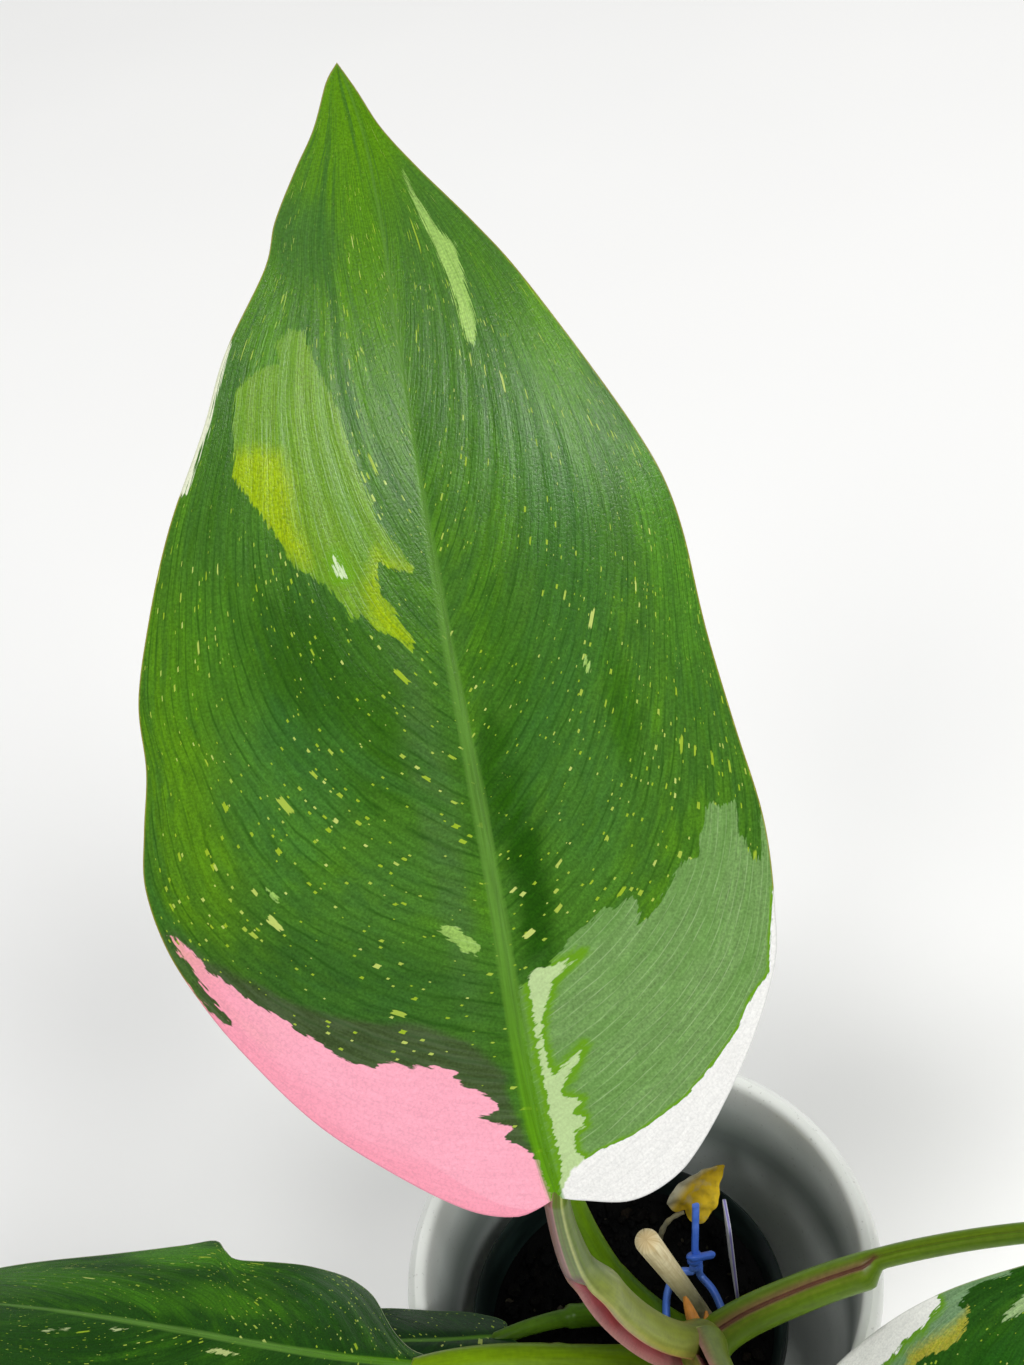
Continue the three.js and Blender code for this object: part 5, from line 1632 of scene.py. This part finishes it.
class PHILODENDRON_OT_label(bpy.types.Operator):
    """Cut the blank plant label and round its corners"""

    bl_idname = "philodendron.label"
    bl_label = "Plant label"

    def execute(self, context):
        foot, top = Vector(LABEL["foot"]) * MM, Vector(LABEL["top"]) * MM
        length = (top - foot).length
        up = (top - foot).normalized()
        facing = Vector((1, LABEL["turned"], 0))
        out = (facing - up * up.dot(facing)).normalized()
        side = up.cross(out)
        bm = new_bmesh()
        shape = Matrix.Diagonal((LABEL["width"] * MM, length, LABEL["thickness"] * MM, 1))
        bmesh.ops.create_cube(bm, size=1, matrix=Matrix.Translation((0, length / 2, 0)) @ shape)

        def bevel(edges, size, segments):
            bmesh.ops.bevel(
                bm, geom=edges, offset=size * MM, offset_type="OFFSET", segments=segments, profile=0.5,
                affect="EDGES", material=-1,
            )

        def is_corner(edge):
            a, b = (vert.co for vert in edge.verts)
            return min(a.y, b.y) > length * LABEL["shoulder"] and abs(a.x - b.x) < TINY

        bevel([edge for edge in bm.edges if is_corner(edge)], LABEL["corner"], 10)
        # The label narrows to a point below this line.
        everything = [*bm.verts, *bm.edges, *bm.faces]
        line = (0, LABEL["point"] * MM, 0)
        bmesh.ops.bisect_plane(bm, geom=everything, plane_co=line, plane_no=(0, 1, 0))
        for vert in bm.verts:
            if vert.co.y < TINY:
                vert.co.x *= LABEL["narrowed"]
        rims = [edge for edge in bm.edges if len(edge.link_faces) == 2 and edge.calc_face_angle() > 1]
        bevel(rims, LABEL["rounding"], 3)
        place = Matrix((side, up, out)).transposed().to_4x4()
        place.translation = foot
        bmesh.ops.transform(bm, matrix=place, verts=bm.verts)
        skins = [label_plastic(out, foot)]
        piece = finish_piece("blank_label", bm, skins, "plant_label", sharp=50)
        marks_of(piece.data)
        return {"FINISHED"}


class PHILODENDRON_OT_withered_leaf(bpy.types.Operator):
    """Curl the small withered leaf on its stalk"""

    bl_idname = "philodendron.withered_leaf"
    bl_label = "Withered leaf"

    def execute(self, context):
        w = WITHERED
        bm = new_bmesh()
        tables = grow_blade(bm, Blade(w), w["thickness"], w["relief"], crumple=w["crumple"], slots=(0, 0))
        rings = []
        path = w["stalk"]
        for t in np.linspace(0, 1, w["stalk_rings"]):
            # The stalk tapers, with about five shrunken rings along it.
            lumps = 1 + w["stalk_lumps"] * math.sin(31 * t)
            flat = circle(w["stalk_radius"] * (1 - w["stalk_taper"] * t) * lumps, w["stalk_sides"])
            rings.append(square_ring(flat, bezier(path, t), bezier_tangent(path, t), STALK_FACING))
        sweep(bm, rings, part=1)
        skins = [withered_skin()]
        piece = finish_piece("withered_small_leaf", bm, skins, "withered_leaf", sharp=80)
        marks = marks_of(piece.data)
        stalk = marks["part"] == 1
        v = tables[1][np.where(stalk, 0, marks["ring"]), np.where(stalk, 0, marks["place"])]
        colour = tinted(np.array(linear("#b8991c")), "#d9b82a", smooth(v, 0, 5))
        colour = tinted(colour, "#a9a48c", smooth(-v, 2, 5.5))
        colour[stalk] = linear("#8a8468")
        paint(piece.data, "tint", "FLOAT_COLOR", colour)
        return {"FINISHED"}


class PHILODENDRON_OT_stage(bpy.types.Operator):
    """Lay the pale floor, hang the soft lights and set up the camera"""

    bl_idname = "philodendron.stage"
    bl_label = "Stage"

    def execute(self, context):
        scene = context.scene
        settings = scene.potted_plant.stage
        bm = bmesh.new()
        bmesh.ops.create_grid(bm, x_segments=8, y_segments=8, size=FLOOR_HALF)
        bmesh.ops.translate(bm, verts=bm.verts, vec=FLOOR_CENTRE)
        mesh = bpy.data.meshes.new("floor")
        bm.to_mesh(mesh)
        bm.free()
        floor = bpy.data.objects.new("floor", mesh)
        scene.collection.objects.link(floor)
        material, add, finish = new_material("pale painted board, matt")
        clouds = add("noise", add("place"), 3.0, 2.0)
        colour = add("shade", tuple(settings.floor), add("range", clouds, 0.3, 0.7, 0.985, 1.0))
        finish(Base_Color=colour, Roughness=0.9)
        mesh.materials.append(material)

        world = bpy.data.worlds.new("even daylight")
        world.use_nodes = True
        sky = world.node_tree.nodes["Background"]
        sky.inputs["Color"].default_value = SKY
        sky.inputs["Strength"].default_value = settings.daylight
        scene.world = world
        for name, place, size, share, in_gloss in LAMPS:
            light = bpy.data.lights.new(name, "AREA")
            light.shape = "SQUARE"
            light.size = size
            light.energy = settings.key * share
            lamp = bpy.data.objects.new(name, light)
            lamp.location = place
            lamp.rotation_euler = (Vector(LAMPS_AIM) - Vector(place)).to_track_quat("-Z", "Y").to_euler()
            lamp.visible_glossy = in_gloss
            lamp.visible_diffuse = not in_gloss
            scene.collection.objects.link(lamp)

        camera = bpy.data.cameras.new("camera")
        camera.sensor_fit = "AUTO"
        camera.sensor_width = SENSOR
        camera.lens = SENSOR * FOCAL_PIXELS / PHOTO_HEIGHT
        camera.clip_start, camera.clip_end = 0.01, 50
        eye = bpy.data.objects.new("camera", camera)
        right, up = Vector(CAMERA_RIGHT).normalized(), Vector(CAMERA_UP).normalized()
        back = right.cross(up)
        turned = Matrix((right, back.cross(right), back)).transposed().to_4x4()
        turned.translation = Vector(CAMERA_PLACE) * MM
        eye.matrix_world = turned
        scene.collection.objects.link(eye)
        scene.camera = eye
        scene.view_settings.view_transform = "Standard"
        return {"FINISHED"}


class PHILODENDRON_PT_panel(bpy.types.Panel):
    """Lists the pieces and their settings"""

    bl_label = "Potted Philodendron"
    bl_space_type = "VIEW_3D"
    bl_region_type = "UI"
    bl_category = "Philodendron"

    def draw(self, context):
        settings = context.scene.potted_plant
        for operator in OPERATORS:
            self.layout.operator(operator.bl_idname)
        for group in (settings.pots, settings.leaves, settings.stage):
            for name in group.bl_rna.properties.keys():
                if name not in ("rna_type", "name"):
                    self.layout.prop(group, name)


OPERATORS = (
    PHILODENDRON_OT_stage, PHILODENDRON_OT_cachepot, PHILODENDRON_OT_nursery_pot, PHILODENDRON_OT_mix,
    PHILODENDRON_OT_stem, PHILODENDRON_OT_leaves, PHILODENDRON_OT_stake, PHILODENDRON_OT_tie,
    PHILODENDRON_OT_label, PHILODENDRON_OT_withered_leaf,
)
CLASSES = (PotSettings, LeafSettings, StageSettings, PlantSettings, *OPERATORS, PHILODENDRON_PT_panel)


def register():
    for one in CLASSES:
        bpy.utils.register_class(one)
    bpy.types.Scene.potted_plant = PointerProperty(type=PlantSettings)


def unregister():
    del bpy.types.Scene.potted_plant
    for one in reversed(CLASSES):
        bpy.utils.unregister_class(one)


def main():
    register()
    for operator in OPERATORS:
        group, name = operator.bl_idname.split(".")
        getattr(getattr(bpy.ops, group), name)()


if __name__ == "__main__":
    main()
